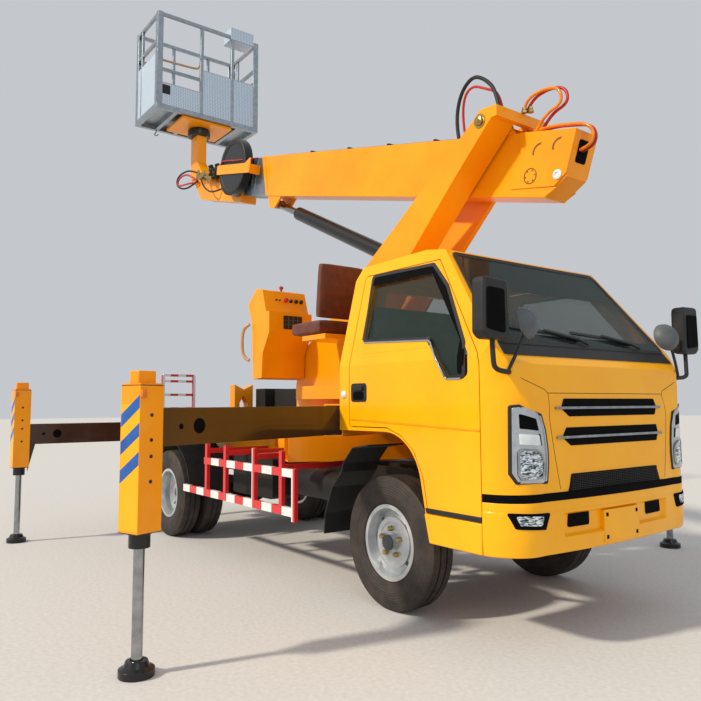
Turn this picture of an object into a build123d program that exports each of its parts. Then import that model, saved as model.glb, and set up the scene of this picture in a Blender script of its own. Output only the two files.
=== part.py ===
"""Cherry picker truck: a light forward-control truck with a slewing column, a telescopic boom and a basket.

Millimetres. +X is the truck's front, +Y its left side, +Z up. All sizes below are measured from the
point on the ground under the middle of the front axle. The finished solids are then moved along X, so
that the stored origin is on the ground at the middle of the whole length.
"""
from build123d import *
from math import cos, hypot, radians, sin
import os

# Running gear
wheelbase = 3100
tyre_radius = 400
tyre_width = 196
rim_radius = 213
front_track_half = 690
twin_inner = 612
twin_outer = 842
kingpin_half = 545
hub_radius = 62
axle_z = tyre_radius

# Ladder frame
rail_half = 350
rail_width = 70
rail_height = 190
rail_wall = 7
rail_bottom = 600
rail_front = 760
rail_rear = -4080
rail_top = rail_bottom + rail_height

# Cab
cab_half = 865
cab_back = -365
cab_floor = 640
cab_roof = 2155
cab_wall = 42
belt_z = 1480
roof_half = 700
door_gap = 6
skin_depth = 12
door_rabbet = 16
hinge_out = 6
door_rear = -262
door_front = 858
door_sill = 655
tunnel_half = 600
tunnel_top = 1072
bumper_front = 1088
bumper_low = 480
bumper_high = 700

# Superstructure
body_half = 930
deck_top = 1130
deck_wall = 54
deck_front = -2080
deck_rear = -4080
guard_half = 915

# Outriggers
beam_width = 126
beam_height = 184
beam_gap = 4
sleeve_wall = 10
sleeve_half = cab_half - 10
leg_size = 136
front_leg = (645, 686)  # leg tube's low edge and height
rear_leg = (669, 706)
foot_radius = 82
rod_radius = 26
collar_radius = 42
front_reach = 2325
rear_reach = 2130
front_beam_x = -748
front_splay = 19.2
rear_beam_x = -3642
rear_lane = 240
parked_reach = 1005
jack_lift = 450
gusset_length, gusset_height, gusset_thick = 62, 250, 16
front_beam_low = 1039
rear_beam_low = 878

# Slewing turret
slew_x = -1640
ring_radius = 335
turntable_low = 1276
turntable_thick = 108
column_near = -324
column_inner = 115
far_plate_wall = 34

# Boom: distances along it run from the pivot pin towards the basket, heights are square to it
pin_x, pin_z = 404, 3011
boom_angle = 14.2
boom_half = 97
boom_top = -36
boom_depth = 404
butt_end = -575
mouth_top = 3290
mouth_low = 3105
section_step = 9
section_wall = 5
collar_step = 84
pin_radius = 25

# Boom cylinder
cyl_base_x, cyl_base_z = -430, 2200
cyl_eye_s, cyl_eye_n = 2956, -512
barrel_radius = 64
cyl_rod_radius = 34
rod_showing = 400
cylinder_ratio = 0.985  # metres of stroke per radian of lift
tilt_ratio = -0.01
boom_lowest, boom_highest = -6, 75
section_travel = 3000

# Basket
basket_front = -4300
basket_depth = 720
basket_half = 672
basket_low = 4712
basket_height = 1190
basket_tube = 40
level_s, level_n = 4830, -300

basket_back = basket_front - basket_depth
frame_shift = -(basket_back + bumper_front) / 2


def polygon(points):
    """Flat face inside a closed line through points."""
    return make_face(Polyline(*points, close=True))


def rounded(points, radius):
    """Flat face inside a closed line through points, with its corners rounded."""
    return make_face(FilletPolyline(*points, radius=radius, close=True))


def across(face, low, high):
    """A face drawn in (X, Z), made solid from Y = low to Y = high."""
    plane = Plane(origin=(0, high, 0), x_dir=(1, 0, 0), z_dir=(0, -1, 0))
    return extrude(plane * face, amount=high - low, dir=(0, -1, 0))


def along(face, low, high):
    """A face drawn in (Y, Z), made solid from X = low to X = high."""
    plane = Plane(origin=(low, 0, 0), x_dir=(0, 1, 0), z_dir=(1, 0, 0))
    return extrude(plane * face, amount=high - low, dir=(1, 0, 0))


def upward(face, low, high):
    """A face drawn in (X, Y), made solid from Z = low to Z = high."""
    return extrude(Pos(0, 0, low) * face, amount=high - low, dir=(0, 0, 1))


def block(x, y, z):
    """Box from three (low, high) pairs."""
    size = [high - low for low, high in (x, y, z)]
    middle = [(high + low) / 2 for low, high in (x, y, z)]
    return Pos(*middle) * Box(*size)


def bar(start, end, radius):
    """Round bar between two points."""
    line = Vector(*end) - Vector(*start)
    plane = Plane(origin=start, z_dir=line)
    return extrude(plane * Circle(radius), amount=line.length, dir=line.normalized())


def mirrored(shape):
    """The same piece on the truck's other side."""
    return mirror(shape, about=Plane.XZ)


nodes = {}


def add(name, *shapes):
    """Keep a node: one solid, or several that don't touch."""
    solids = [solid for shape in shapes for solid in shape.solids()]
    nodes[name] = solids[0] if len(solids) == 1 else Compound(children=solids)


def revolved(points, y):
    """Profile in (radius, width) turned about a wheel's axis, which runs along Y through the hub."""
    face = Plane(origin=(0, y, axle_z), x_dir=(0, 0, 1), z_dir=(-1, 0, 0)) * polygon(points)
    return revolve(face, axis=Axis((0, y, axle_z), (0, 1, 0)))


# Wheels: profiles in (radius, width), width counted outwards from the tyre's middle
half_tyre = tyre_width / 2
tread_half = half_tyre - 24
groove_depth, groove_half = 9, 5
bead_half = 65
lip_height = 14


def tyre(y):
    """One tyre with rounded shoulders, belled side walls and two grooves round the tread."""
    side = [(rim_radius, bead_half), (rim_radius + lip_height + 1, bead_half), (rim_radius + lip_height + 8, 82),
            (tyre_radius - 110, half_tyre), (tyre_radius - 60, half_tyre - 3), (tyre_radius - 16, tread_half + 8),
            (tyre_radius - 4, tread_half)]
    grooves = []
    for centre in (24, -24):
        grooves += [(tyre_radius, centre + groove_half), (tyre_radius - groove_depth, centre + groove_half),
                    (tyre_radius - groove_depth, centre - groove_half), (tyre_radius, centre - groove_half)]
    other = [(r, -w) for r, w in reversed(side)]
    return revolved(side + grooves + other, y)


def rim(y, out, dish):
    """Steel wheel: rim barrel with a flange at each edge, and a disc dished by dish towards out (+1 or -1)."""
    lip = rim_radius + lip_height
    barrel = [(rim_radius - 1, bead_half), (rim_radius - 1, bead_half + 1), (lip, bead_half + 1), (lip, bead_half + 11),
              (rim_radius - 10, bead_half + 11), (rim_radius - 20, 30)]
    barrel += [(r, -w) for r, w in reversed(barrel)] + [(rim_radius - 12, -30), (rim_radius - 12, 30)]
    edge = min(dish - 44, 16)
    disc = [(rim_radius - 16, edge), (rim_radius - 16, edge + 12), (rim_radius - 60, dish - 14), (118, dish + 2),
            (104, dish + 9), (48, dish + 9), (48, dish - 1), (100, dish - 1), (118, dish - 10),
            (rim_radius - 66, dish - 26), (rim_radius - 24, edge)]
    barrel, disc = ([(r, out * w) for r, w in profile] for profile in (barrel, disc))
    wheel = revolved(barrel, y) + revolved(disc, y)
    slot = Plane(origin=(0, y, axle_z), x_dir=(0, 0, 1), z_dir=(0, 1, 0)) * SlotOverall(62, 32)
    for turn in range(4):
        hole = extrude(slot, amount=200, both=True)
        hole = Pos(0, 0, 148) * hole
        wheel -= hole.rotate(Axis((0, y, axle_z), (0, 1, 0)), 45 + 90 * turn)
    return wheel


def nuts(y, out, count=5, circle=82):
    """Wheel nuts on their studs, each a short hexagon seated on the disc."""
    made = []
    for number in range(count):
        turn = radians(90 + 360 * number / count)
        at = (circle * cos(turn), y, axle_z + circle * sin(turn))
        plane = Plane(origin=at, x_dir=(1, 0, 0), z_dir=(0, out, 0))
        made.append(extrude(plane * RegularPolygon(15, 6), amount=24, dir=(0, out, 0)))
    return made


front_dish = 40
for side, out in (("left", 1), ("right", -1)):
    middle = out * front_track_half
    front_disc = middle + out * front_dish
    wheel = rim(middle, out, front_dish)
    for nut in nuts(front_disc + out * 8, out):
        wheel += nut
    face = front_disc + out * 8
    drum_depth = 96
    hub = bar((0, front_disc - out * drum_depth, axle_z), (0, face + out * 6, axle_z), hub_radius - 4)
    cap = bar((0, face, axle_z), (0, face + out * 40, axle_z), 44)
    drum = bar((0, front_disc - out * drum_depth, axle_z), (0, front_disc, axle_z), 150)
    bore = bar((0, front_disc - out * (drum_depth + 1), axle_z), (0, front_disc - out * 30, axle_z), 36)
    add(f"front_rim_{side}", wheel + drum + hub + cap - bore)
    add(f"front_tyre_{side}", tyre(middle))

    wheels = []
    for y, facing in ((out * twin_outer, -out), (out * twin_inner, out)):
        wheels.append(rim(y, facing, (twin_outer - twin_inner) / 2 - 9))
    outer_face = out * (twin_outer + twin_inner) / 2
    joined = wheels[0] + wheels[1]
    joined += bar((0, outer_face - out * 150, axle_z), (0, outer_face - out * 1, axle_z), 150)
    joined += bar((0, outer_face, axle_z), (0, outer_face + out * 92, axle_z), 66)
    joined += bar((0, outer_face + out * 92, axle_z), (0, outer_face + out * 104, axle_z), 82)
    for nut in nuts(outer_face + out * 6, out):
        joined += nut
    joined -= bar((0, outer_face - out * 151, axle_z), (0, outer_face - out * 40, axle_z), 46)
    behind = Pos(-wheelbase, 0, 0)
    add(f"rear_rims_{side}", behind * joined)
    add(f"rear_tyres_{side}", behind * tyre(out * twin_outer), behind * tyre(out * twin_inner))


# Front axle: forged I-section beam dropped in the middle, an eye at each end for the kingpin
beam_drop = 60
eye_radius = 38
kingpin_radius = 17
eye_half = 40
spring_y = 320
axle_end = kingpin_half - eye_radius - 24
axle_side = [(-kingpin_half, axle_z), (-axle_end, axle_z), (-spring_y - 60, axle_z - beam_drop),
             (spring_y + 60, axle_z - beam_drop), (axle_end, axle_z), (kingpin_half, axle_z)]
flange = 12


def axle_strip(low, high):
    """The bent outline of the axle between two heights, drawn in (Y, Z)."""
    upper = [(y, z + high) for y, z in axle_side]
    lower = [(y, z + low) for y, z in reversed(axle_side)]
    return polygon(upper + lower)


front_axle = along(axle_strip(-38, 38), -9, 9)
front_axle += along(axle_strip(38 - flange, 38), -34, 34) + along(axle_strip(-38, -38 + flange), -34, 34)
for out in (1, -1):
    eye_y = out * kingpin_half
    front_axle += bar((0, eye_y, axle_z - eye_half), (0, eye_y, axle_z + eye_half), eye_radius)
    front_axle += block((-62, 62), (out * spring_y - 34, out * spring_y + 34), (axle_z - beam_drop + 30, axle_z + 4))
for out in (1, -1):
    eye_y = out * kingpin_half
    front_axle -= bar((0, eye_y, axle_z - 60), (0, eye_y, axle_z + 60), kingpin_radius + 0.05)
add("front_axle", front_axle)

# Steering knuckles: a fork over the axle's eye, the kingpin, the stub axle and the steering arm
fork_gap = 1
fork_thick = 22
stub_radius = 30
for side, out in (("left", 1), ("right", -1)):
    eye_y = out * kingpin_half
    web_y = eye_y + out * (eye_radius + 12)
    knuckle = bar((0, eye_y, axle_z - 66), (0, eye_y, axle_z + 66), kingpin_radius)
    for low in (axle_z + eye_half + fork_gap, axle_z - eye_half - fork_gap - fork_thick):
        ear = bar((0, eye_y, low), (0, eye_y, low + fork_thick), 34)
        ear += block((-30, 30), sorted((eye_y, web_y)), (low, low + fork_thick))
        knuckle += ear
    web_reach = eye_half + fork_gap + fork_thick
    knuckle += block((-30, 30), sorted((web_y - out * 8, web_y + out * 14)), (axle_z - web_reach, axle_z + web_reach))
    stub_end = out * (front_track_half + front_dish - 34)
    knuckle += bar((0, web_y, axle_z), (0, stub_end, axle_z), stub_radius)
    arm_low = axle_z - eye_half - fork_gap - fork_thick
    knuckle += block((-150, -20), (eye_y - 18, eye_y + 18), (arm_low, arm_low + 20))
    add(f"knuckle_{side}", knuckle)

# Rear axle: banjo casing with its round differential cover, tapering to the hubs
rear_hub_y = twin_inner - 20
casing = bar((0, -rear_hub_y, axle_z), (0, rear_hub_y, axle_z), 40)
for out in (1, -1):
    wide = Plane(origin=(0, out * 150, axle_z), z_dir=(0, out, 0)) * Circle(120)
    narrow = Plane(origin=(0, out * 270, axle_z), z_dir=(0, out, 0)) * Circle(52)
    casing += loft([wide, narrow])
    casing += block((-48, 48), (out * spring_y - 40, out * spring_y + 40), (axle_z - 50, axle_z + 58))
casing += bar((0, -150, axle_z), (0, 150, axle_z), 120)
casing += Pos(0, 0, axle_z) * Sphere(158)
casing += bar((130, 0, axle_z), (250, 0, axle_z), 54)
add("rear_axle", Pos(-wheelbase, 0, 0) * casing)


# Leaf springs: stacked leaves curved between two eyes
def leaf_spring(centre_x, y, seat_z, length, leaves):
    """A pack of curved leaves of falling length, its lowest leaf seated on the axle."""
    rise = 62
    reach = (length / 2) ** 2 / (2 * rise) + rise / 2
    thick, width = 11, 56
    pack = None
    for number in range(leaves):
        low = seat_z + thick * number
        half = length / 2 * (0.42 + 0.58 * number / (leaves - 1))
        ring = Circle(reach - thick * number) - Circle(reach - thick * (number + 1))
        centre = Pos(centre_x, low + reach - thick * number) * ring
        strip = centre & (Pos(centre_x, low + rise) * Rectangle(2 * half, 3 * rise))
        leaf = across(strip, y - width / 2, y + width / 2)
        pack = leaf if pack is None else pack + leaf
    top = seat_z + thick * leaves
    for end in (-1, 1):
        eye = (centre_x + end * (length / 2 - 4), y, top + rise - 26)
        pack += bar((eye[0], y - width / 2, eye[2]), (eye[0], y + width / 2, eye[2]), 26)
    return pack


springs = []
for out in (1, -1):
    springs.append(leaf_spring(0, out * spring_y, axle_z + 4, 1020, 4))
    springs.append(leaf_spring(-wheelbase, out * spring_y, axle_z + 58, 1180, 7))
add("leaf_springs", *springs)

# Ladder frame: two channel rails, cross members, and a hanger bracket at every spring eye
channel = [(0, 0), (rail_width, 0), (rail_width, rail_wall), (rail_wall, rail_wall),
           (rail_wall, rail_height - rail_wall), (rail_width, rail_height - rail_wall), (rail_width, rail_height),
           (0, rail_height)]
frame = None
for out in (1, -1):
    section = polygon([(out * (rail_half - y), rail_bottom + z) for y, z in channel])
    rail = along(section, rail_rear, rail_front)
    frame = rail if frame is None else frame + rail
inside = rail_half - rail_wall
cross_members = [  # X, low edge above the rails' bottom
    (rail_front - 60, 20), (-980, 130), (-1700, 20), (-2350, 20), (-3560, 20), (rail_rear + 40, 20)]
for x, low in cross_members:
    member = block((x - 40, x + 40), (-inside, inside), (rail_bottom + low, rail_top - 20))
    frame += member - block((x - 32, x + 32), (-inside, inside), (rail_bottom + low + 8, rail_top - 12))
for centre, half_length in ((0, 510), (-wheelbase, 590)):
    for end in (-1, 1):
        eye = centre + end * (half_length - 4)
        for out in (1, -1):
            for inner, outer_face, high in ((spring_y - 38, spring_y - 29, rail_bottom + 2),
                                            (rail_half - 1, rail_half + 8, rail_bottom + 80)):
                frame += block((eye - 30, eye + 30), sorted((out * inner, out * outer_face)), (rail_bottom - 130, high))
frame += block((rail_rear - 60, rail_rear), (-body_half + 30, body_half - 30), (560, 680))
add("chassis_frame", frame)

# Drive line: engine and gearbox as plain blocks, the propeller shaft to the rear axle
engine = block((-330, 330), (-240, 240), (520, 1040)) + block((-900, -330), (-150, 150), (560, 800))
engine -= block((-400, 400), (-400, 400), (500, 540))
shaft_front = (-901, 0, 690)
shaft_rear = (-wheelbase + 290, 0, axle_z + 4)
add("engine_and_shaft", engine, bar(shaft_front, shaft_rear, 40))

# Tanks and boxes hung on the frame between the axles
fuel_tank = across(rounded([(-1900, 480), (-1250, 480), (-1250, 810), (-1900, 810)], 40),
                   rail_half + 4, rail_half + 420)
oil_tank = across(rounded([(-2080, 500), (-1420, 500), (-1420, 818), (-2080, 818)], 30),
                  -rail_half - 400, -rail_half - 4)
silencer = bar((-1330, -rail_half - 180, 640), (-760, -rail_half - 180, 640), 110)
silencer += bar((-760, -rail_half - 180, 640), (-620, -rail_half - 180, 640), 34)
add("tanks_and_silencer", fuel_tank, oil_tank, silencer)

# Side guards: two striped rails on uprights, with the broad end plate at the front
guard_wall = 30


def side_guard(out):
    """Guard on one side, measured along the truck in (X, Z)."""
    inner, outer = sorted((out * guard_half, out * (guard_half + guard_wall)))
    parts = [((-2680, -810), (462, 522)), ((-2250, -810), (730, 786))]
    guard = None
    for x, z in parts:
        rail = block(x, (inner, outer), z)
        guard = rail if guard is None else guard + rail
    for x, low in ((-2230, 462), (-1880, 462), (-1400, 462), (-1000, 462)):
        guard += block((x, x + 40), (inner, outer), (low, 905))
    guard += block((-830, -790), (inner, outer), (430, 790))
    for x, low in ((-2230, 822), (-1880, 822), (-1400, 822), (-1000, 770)):
        near, far = sorted((out * rail_half, out * (guard_half + 4)))
        guard += block((x, x + 40), (near, far), (low, low + 40))
    return guard


add("side_guards", side_guard(1), side_guard(-1))

# Mudguards behind the front wheels and over the twin wheels


def rear_mudguard(out):
    """Arched sheet over the twin wheels, ending in a flat flap at each side."""
    ring = Circle(tyre_radius + 92) - Circle(tyre_radius + 84)
    upper = Pos(-wheelbase, axle_z) * ring & (Pos(-wheelbase, axle_z + 300 + 60) * Rectangle(1200, 600))
    low, high = sorted((out * (twin_inner - 100), out * (guard_half - 3)))
    return across(upper, low, high)


def front_mudguard(out):
    """Black inner arch between the front wheel and the cab's rear corner, with its flap behind the wheel."""
    low, high = sorted((out * 560, out * 850))
    outline = [(-90, 986), (-250, 962), (-352, 862), (-372, 806), (-478, 700), (-560, 520), (-572, 380), (-564, 380),
               (-552, 516), (-472, 692), (-366, 798), (-344, 858), (-246, 954), (-90, 978)]
    return across(polygon(outline), low, high)


add("mudguards", *[guard(out) for guard in (front_mudguard, rear_mudguard) for out in (1, -1)])


# Cab shell: the side outline, the front view's lean-in above the belt and the plan's rounded nose
def cab_solid(inset):
    """The cab's outer form, or the same form set in by a wall."""
    i = inset
    side = make_face(Wire([
        Line((cab_back + i, 1070 + i), (cab_back + i, 2060)),
        Line((cab_back + i, 2060), (cab_back + 60 + i * 0.5, cab_roof - 12 - i)),
        Line((cab_back + 60 + i * 0.5, cab_roof - 12 - i), (300, cab_roof - i)),
        Line((300, cab_roof - i), (470 - i * 0.4, 2128 - i)),
        Line((470 - i * 0.4, 2128 - i), (925 - i * 1.2, 1540)),
        Line((925 - i * 1.2, 1540), (1000 - i, 1440)),
        Line((1000 - i, 1440), (1046 - i, 1220)),
        Line((1046 - i, 1220), (1060 - i, bumper_high + 60)),
        Line((1060 - i, bumper_high + 60), (1040 - i, cab_floor + i)),
        Line((1040 - i, cab_floor + i), (440 + i * 0.5, cab_floor + i)),
        Line((440 + i * 0.5, cab_floor + i), (400 + i, 830)),
        ThreePointArc((400 + i, 830), (292 + i * 0.7, 1000 + i * 0.7), (90, 1072 + i)),
        Line((90, 1072 + i), (cab_back + i, 1070 + i)),
    ]))
    half, top = cab_half - i, roof_half - i
    front_view = polygon([(-half, 400), (half, 400), (half, belt_z), (top, cab_roof + 10), (-top, cab_roof + 10),
                          (-half, belt_z)])
    nose = make_face(Wire([
        Line((cab_back - 10, -half), (860, -half)),
        ThreePointArc((860, -half), (985 - i * 0.7, -half + 62), (1048 - i, -half + 250)),
        ThreePointArc((1048 - i, -half + 250), (1080 - i, 0), (1048 - i, half - 250)),
        ThreePointArc((1048 - i, half - 250), (985 - i * 0.7, half - 62), (860, half)),
        Line((860, half), (cab_back - 10, half)),
        Line((cab_back - 10, half), (cab_back - 10, -half)),
    ]))
    solid = across(side, -1000, 1000)
    solid &= along(front_view, cab_back - 5, 1200)
    solid &= upward(nose, 400, 2300)
    tunnel = block((cab_back - 10, 960 + i), (-tunnel_half - i, tunnel_half + i), (300, tunnel_top + i))
    return solid - tunnel


outer = cab_solid(0)
shell = outer - cab_solid(cab_wall)

# Openings in (X, Z) seen from the side, and in (Y, Z) seen from the front
door_outline = [(door_rear, 1092), (door_rear, 2075), (440, 2075), (845, 1500), (door_front, 1440),
                (door_front, door_sill), (455, door_sill), (418, 835), (345, 970), (240, 1050), (110, 1092)]
window_outline = [(-175, 1560), (-175, 2010), (395, 2010), (775, 1500), (775, 1375), (612, 1375), (470, 1560)]
windscreen = [(-790, 1556), (790, 1556), (668, 2100), (-668, 2100)]
rear_window = [(-520, 1600), (520, 1600), (500, 2000), (-500, 2000)]

door_zone = across(rounded(door_outline, 24), -1000, -560)
door_zone += mirrored(door_zone)
skin_band = along(polygon([(-1000, 400), (-cab_half + 90, 400), (-cab_half + 90, belt_z),
                           (-roof_half + 90, cab_roof + 10), (-1000, cab_roof + 10)]), -600, 1300)
skin_band += mirrored(skin_band)
doors_both = shell & door_zone & skin_band
shell -= door_zone & skin_band
front_cut = along(rounded(windscreen, 40), 300, 1100) & across(
    polygon([(300, 1500), (1100, 1500), (1100, 2112), (405, 2112), (300, 2000)]), -900, 900)
shell -= front_cut & across(polygon([(440, 2112), (350, 2112), (800, 1545), (1000, 1545)]), -900, 900)
shell -= along(rounded(rear_window, 50), cab_back - 20, cab_back + 160)
grille_hole = along(rounded([(-400, 742), (400, 742), (430, 835), (-430, 835)], 12), 960, 1100)
shell -= grille_hole
lamp_outline = [(600, 838), (760, 838), (832, 880), (832, 1190), (800, 1222), (700, 1180), (640, 1090), (600, 1000)]
lamp_hole = along(rounded(lamp_outline, 14), 860, 1100)
lamp_zone = outer & (lamp_hole + mirrored(lamp_hole))
shell -= lamp_zone
add("cab_shell", shell)

# Doors: slabs as thick as the cab's wall, let into their openings by the door gap
for side, out in (("left", 1), ("right", -1)):
    low, high = sorted((out * 1000, out * 500))
    opening = make_face(FilletPolyline(*door_outline, radius=24, close=True))
    hole = rounded(window_outline, 30)
    skin = offset(opening, amount=-door_gap) - hole
    frame_face = offset(opening, amount=-door_rabbet) - hole
    door = (cab_solid(0) - cab_solid(skin_depth)) & across(skin, low, high)
    door += (cab_solid(skin_depth - 1) - cab_solid(cab_wall)) & across(frame_face, low, high)
    door &= skin_band
    door &= block((-600, 1300), sorted((out * 500, out * 1000)), (400, 2300))
    glass = cab_solid(18) - cab_solid(24)
    glass &= across(hole, low, high)
    add(f"door_{side}", door)
    add(f"door_glass_{side}", glass)

# Glass set in the middle of the wall
pane = cab_solid(16) - cab_solid(23)
windscreen_pane = pane & front_cut & across(polygon([(440, 2112), (350, 2112), (800, 1545), (1000, 1545)]), -900, 900)
rear_pane = pane & along(rounded(rear_window, 50), cab_back - 20, cab_back + 160)
add("cab_glass", windscreen_pane, rear_pane)

# Head lamps fill their pockets, the grille hangs in front of the radiator
lamp_body = lamp_zone & (cab_solid(6) - cab_solid(120))
add("head_lamps", lamp_body)
mesh = along(rounded([(-399, 743), (399, 743), (429, 834), (-429, 834)], 12), 960, 1100) & (
    cab_solid(14) - cab_solid(34))
add("grille", mesh)

# Front bumper: deep wrap-round section under the cab, with the number plate's bare panel
bumper_plan = make_face(Wire([
    Line((760, -cab_half - 5), (900, -cab_half - 5)),
    ThreePointArc((900, -cab_half - 5), (1010, -cab_half + 60), (1062, -cab_half + 240)),
    ThreePointArc((1062, -cab_half + 240), (bumper_front - 8, 0), (1062, cab_half - 240)),
    ThreePointArc((1062, cab_half - 240), (1010, cab_half - 60), (900, cab_half + 5)),
    Line((900, cab_half + 5), (760, cab_half + 5)),
    Line((760, cab_half + 5), (760, cab_half - 60)),
    Line((760, cab_half - 60), (960, cab_half - 230)),
    Line((960, cab_half - 230), (960, -cab_half + 230)),
    Line((960, -cab_half + 230), (760, -cab_half + 60)),
    Line((760, -cab_half + 60), (760, -cab_half - 5)),
]))
bumper = upward(bumper_plan, bumper_low, cab_floor - 8)
bumper += block((bumper_front - 16, bumper_front), (-157, 157), (bumper_low + 50, cab_floor - 20))
add("front_bumper", bumper)

# Mirrors: tall main glass and round wide-angle glass on one bent arm at each front corner
mirrors = []
for out in (1, -1):
    foot = (985, out * 760, 1395)
    arm = bar(foot, (1010, out * 1010, 1400), 12) + bar((1010, out * 1010, 1400), (1010, out * 1010, 1560), 12)
    housing = Pos(1010, out * 1010, 1700) * Box(70, 190, 360)
    mirrors.append(arm + housing)
add("mirrors", *[mirror_set - outer for mirror_set in mirrors])

# Cab interior: dash, steering wheel, seats
dash = across(polygon([(560, 1180), (860, 1180), (900, 1240), (900, 1440), (820, 1500), (640, 1440)]), -690, 690)
wheel_centre = Vector(505, 330, 1420)
steer_plane = Plane(origin=wheel_centre, z_dir=(-0.55, 0, 0.84))
steering = steer_plane * Torus(190, 15)
steering += steer_plane * Box(370, 40, 16) + steer_plane * Cylinder(45, 40)
steering += bar(wheel_centre, wheel_centre - Vector(-0.55, 0, 0.84) * 210, 22)
add("dashboard", dash + steering)


def cab_seat(y, width):
    """Seat with a base, a cushion and a reclined back."""
    base = block((-130, 300), (y - width / 2 + 40, y + width / 2 - 40), (tunnel_top + cab_wall, 1180))
    cushion = block((-170, 340), (y - width / 2, y + width / 2), (1180, 1300))
    back = across(polygon([(-300, 1200), (-150, 1200), (-190, 1880), (-290, 1880)]), y - width / 2, y + width / 2)
    return base + cushion + back


add("cab_seats", cab_seat(-300, 820), cab_seat(480, 480))

# Sleeve frame behind the cab and at the tail: fixed boxes that the outrigger beams slide in
beam_inner = sleeve_half - 400


def beam_location(x, splay, out):
    """Frame whose +X runs outwards along a beam, from the truck's centre line."""
    angle = radians(splay)
    direction = (sin(angle), out * cos(angle), 0)
    return Plane(origin=(x, 0, 0), x_dir=direction, z_dir=(0, 0, 1))


front_lane_drop = beam_height + 2 * (beam_gap + sleeve_wall) - sleeve_wall
outriggers = [
    # name, out, X on the centre line, splay in degrees, beam's low edge, reach across, leg
    ("front_right", -1, front_beam_x, front_splay, front_beam_low, front_reach, front_leg),
    ("front_left", 1, front_beam_x, front_splay, front_beam_low - front_lane_drop, front_reach, front_leg),
    ("rear_right", -1, rear_beam_x, 0, rear_beam_low, rear_reach, rear_leg),
    ("rear_left", 1, rear_beam_x - rear_lane, 0, rear_beam_low, rear_reach, rear_leg),
]
sleeve_width = beam_width + 2 * (sleeve_wall + beam_gap)
sleeve_height = beam_height + 2 * (sleeve_wall + beam_gap)
sleeves = None
for name, out, x, splay, low, reach, (leg_low, leg_height) in outriggers:
    slant = cos(radians(splay))
    plane = beam_location(x, splay, out)
    middle = low + beam_height / 2
    half = sleeve_half / slant
    outer_box = Pos(0, 0, middle) * Box(2 * half, sleeve_width, sleeve_height)
    hollow = Pos(0, 0, middle) * Box(2 * half + 20, beam_width + 2 * beam_gap, beam_height + 2 * beam_gap)
    sleeve = plane.location * (outer_box - hollow)
    sleeves = sleeve if sleeves is None else sleeves + sleeve
for name, out, x, splay, low, reach, (leg_low, leg_height) in outriggers:
    plane = beam_location(x, splay, out)
    hollow = Pos(0, 0, low + beam_height / 2) * Box(3000, beam_width + 2 * beam_gap, beam_height + 2 * beam_gap)
    sleeves -= plane.location * hollow

for name, out, x, splay, low, reach, (leg_low, leg_height) in outriggers:
    slant = cos(radians(splay))
    plane = beam_location(x, splay, out)
    leg_at = reach / slant
    inner_end = beam_inner / slant
    beam = Pos((leg_at + inner_end) / 2 - leg_size / 4, 0, low + beam_height / 2) * Box(
        leg_at - inner_end - leg_size / 2, beam_width, beam_height)
    beam -= Pos((leg_at + inner_end) / 2 - leg_size / 2 - 20, 0, low + beam_height / 2) * Box(
        leg_at - inner_end, beam_width - 16, beam_height - 16)
    leg = Pos(leg_at, 0, leg_low + leg_height / 2) * Box(leg_size, leg_size, leg_height)
    collar = Pos(leg_at, 0, leg_low - 34) * Cylinder(collar_radius, 68)
    bore = Pos(leg_at, 0, leg_low + leg_height / 2 - 60) * Cylinder(rod_radius + 4, leg_height + 40)
    leg_face = leg_at - leg_size / 2
    gusset_low = [(leg_face, low), (leg_face - gusset_length, low), (leg_face, low - gusset_height)]
    gusset = extrude(Plane.XZ * polygon(gusset_low), amount=gusset_thick / 2, both=True)
    lamp = Pos(leg_at, 0, leg_low + leg_height + 33) * Box(95, 60, 66)
    arm = plane.location * (beam + leg + collar + gusset + lamp - bore)
    add(f"outrigger_beam_{name}", arm)
    rod_top = leg_low + leg_height - 60 - jack_lift
    rod = Pos(leg_at, 0, (rod_top + 30) / 2) * Cylinder(rod_radius, rod_top - 30)
    foot = Pos(leg_at, 0, 15) * Cylinder(foot_radius, 30) + Pos(leg_at, 0, 45) * Cylinder(48, 40)
    add(f"jack_{name}", plane.location * (rod + foot))

# Deck plate over the tail, the boxes on it, the boom's rest and the boarding ladder
deck = block((deck_rear, deck_front), (-body_half + 30, body_half - 30), (deck_top - deck_wall, deck_top))
deck += block((-3300, -3100), (130, 560), (deck_top, 1400)) + block((-3016, -2544), (200, 600), (deck_top, 1390))
rest_x = (-3440, -3330)
rest = along(polygon([(-108, deck_top), (108, deck_top), (108, 1445), (0, 1392), (-108, 1445)]), *rest_x)
rest -= along(rounded([(-50, deck_top + 30), (50, deck_top + 30), (50, 1250), (0, 1340), (-50, 1250)], 20),
              rest_x[0] - 10, rest_x[1] + 10)
add("boom_rest", rest)
add("deck", deck)
ladder = None
for y in (-620, -260):
    post = block((-4060, -4030), (y - 15, y + 15), (deck_top, 1560))
    ladder = post if ladder is None else ladder + post
for z in (1180, 1330, 1480, 1545):
    ladder += block((-4060, -4030), (-620, -260), (z, z + 26))
add("boarding_rail", ladder)

# Subframe between the ladder frame and the superstructure, and the slewing ring's pedestal
subframe = None
for out in (1, -1):
    runner_y = sorted((out * (rail_half - rail_width), out * rail_half))
    runner = block((deck_rear, slew_x + 500), runner_y, (rail_top, rear_beam_low - sleeve_wall - beam_gap))
    runner += block((rear_beam_x + 140, deck_front), runner_y, (rail_top, deck_top - deck_wall))
    subframe = runner if subframe is None else subframe + runner
pedestal_low = rail_top
subframe += Pos(slew_x, 0, (pedestal_low + 1190) / 2) * Box(760, 2 * rail_half, 1190 - pedestal_low)
subframe += Pos(slew_x, 0, (1190 + turntable_low - 1) / 2) * Cylinder(ring_radius, turntable_low - 1 - 1190)
add("subframe", subframe + sleeves)

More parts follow.
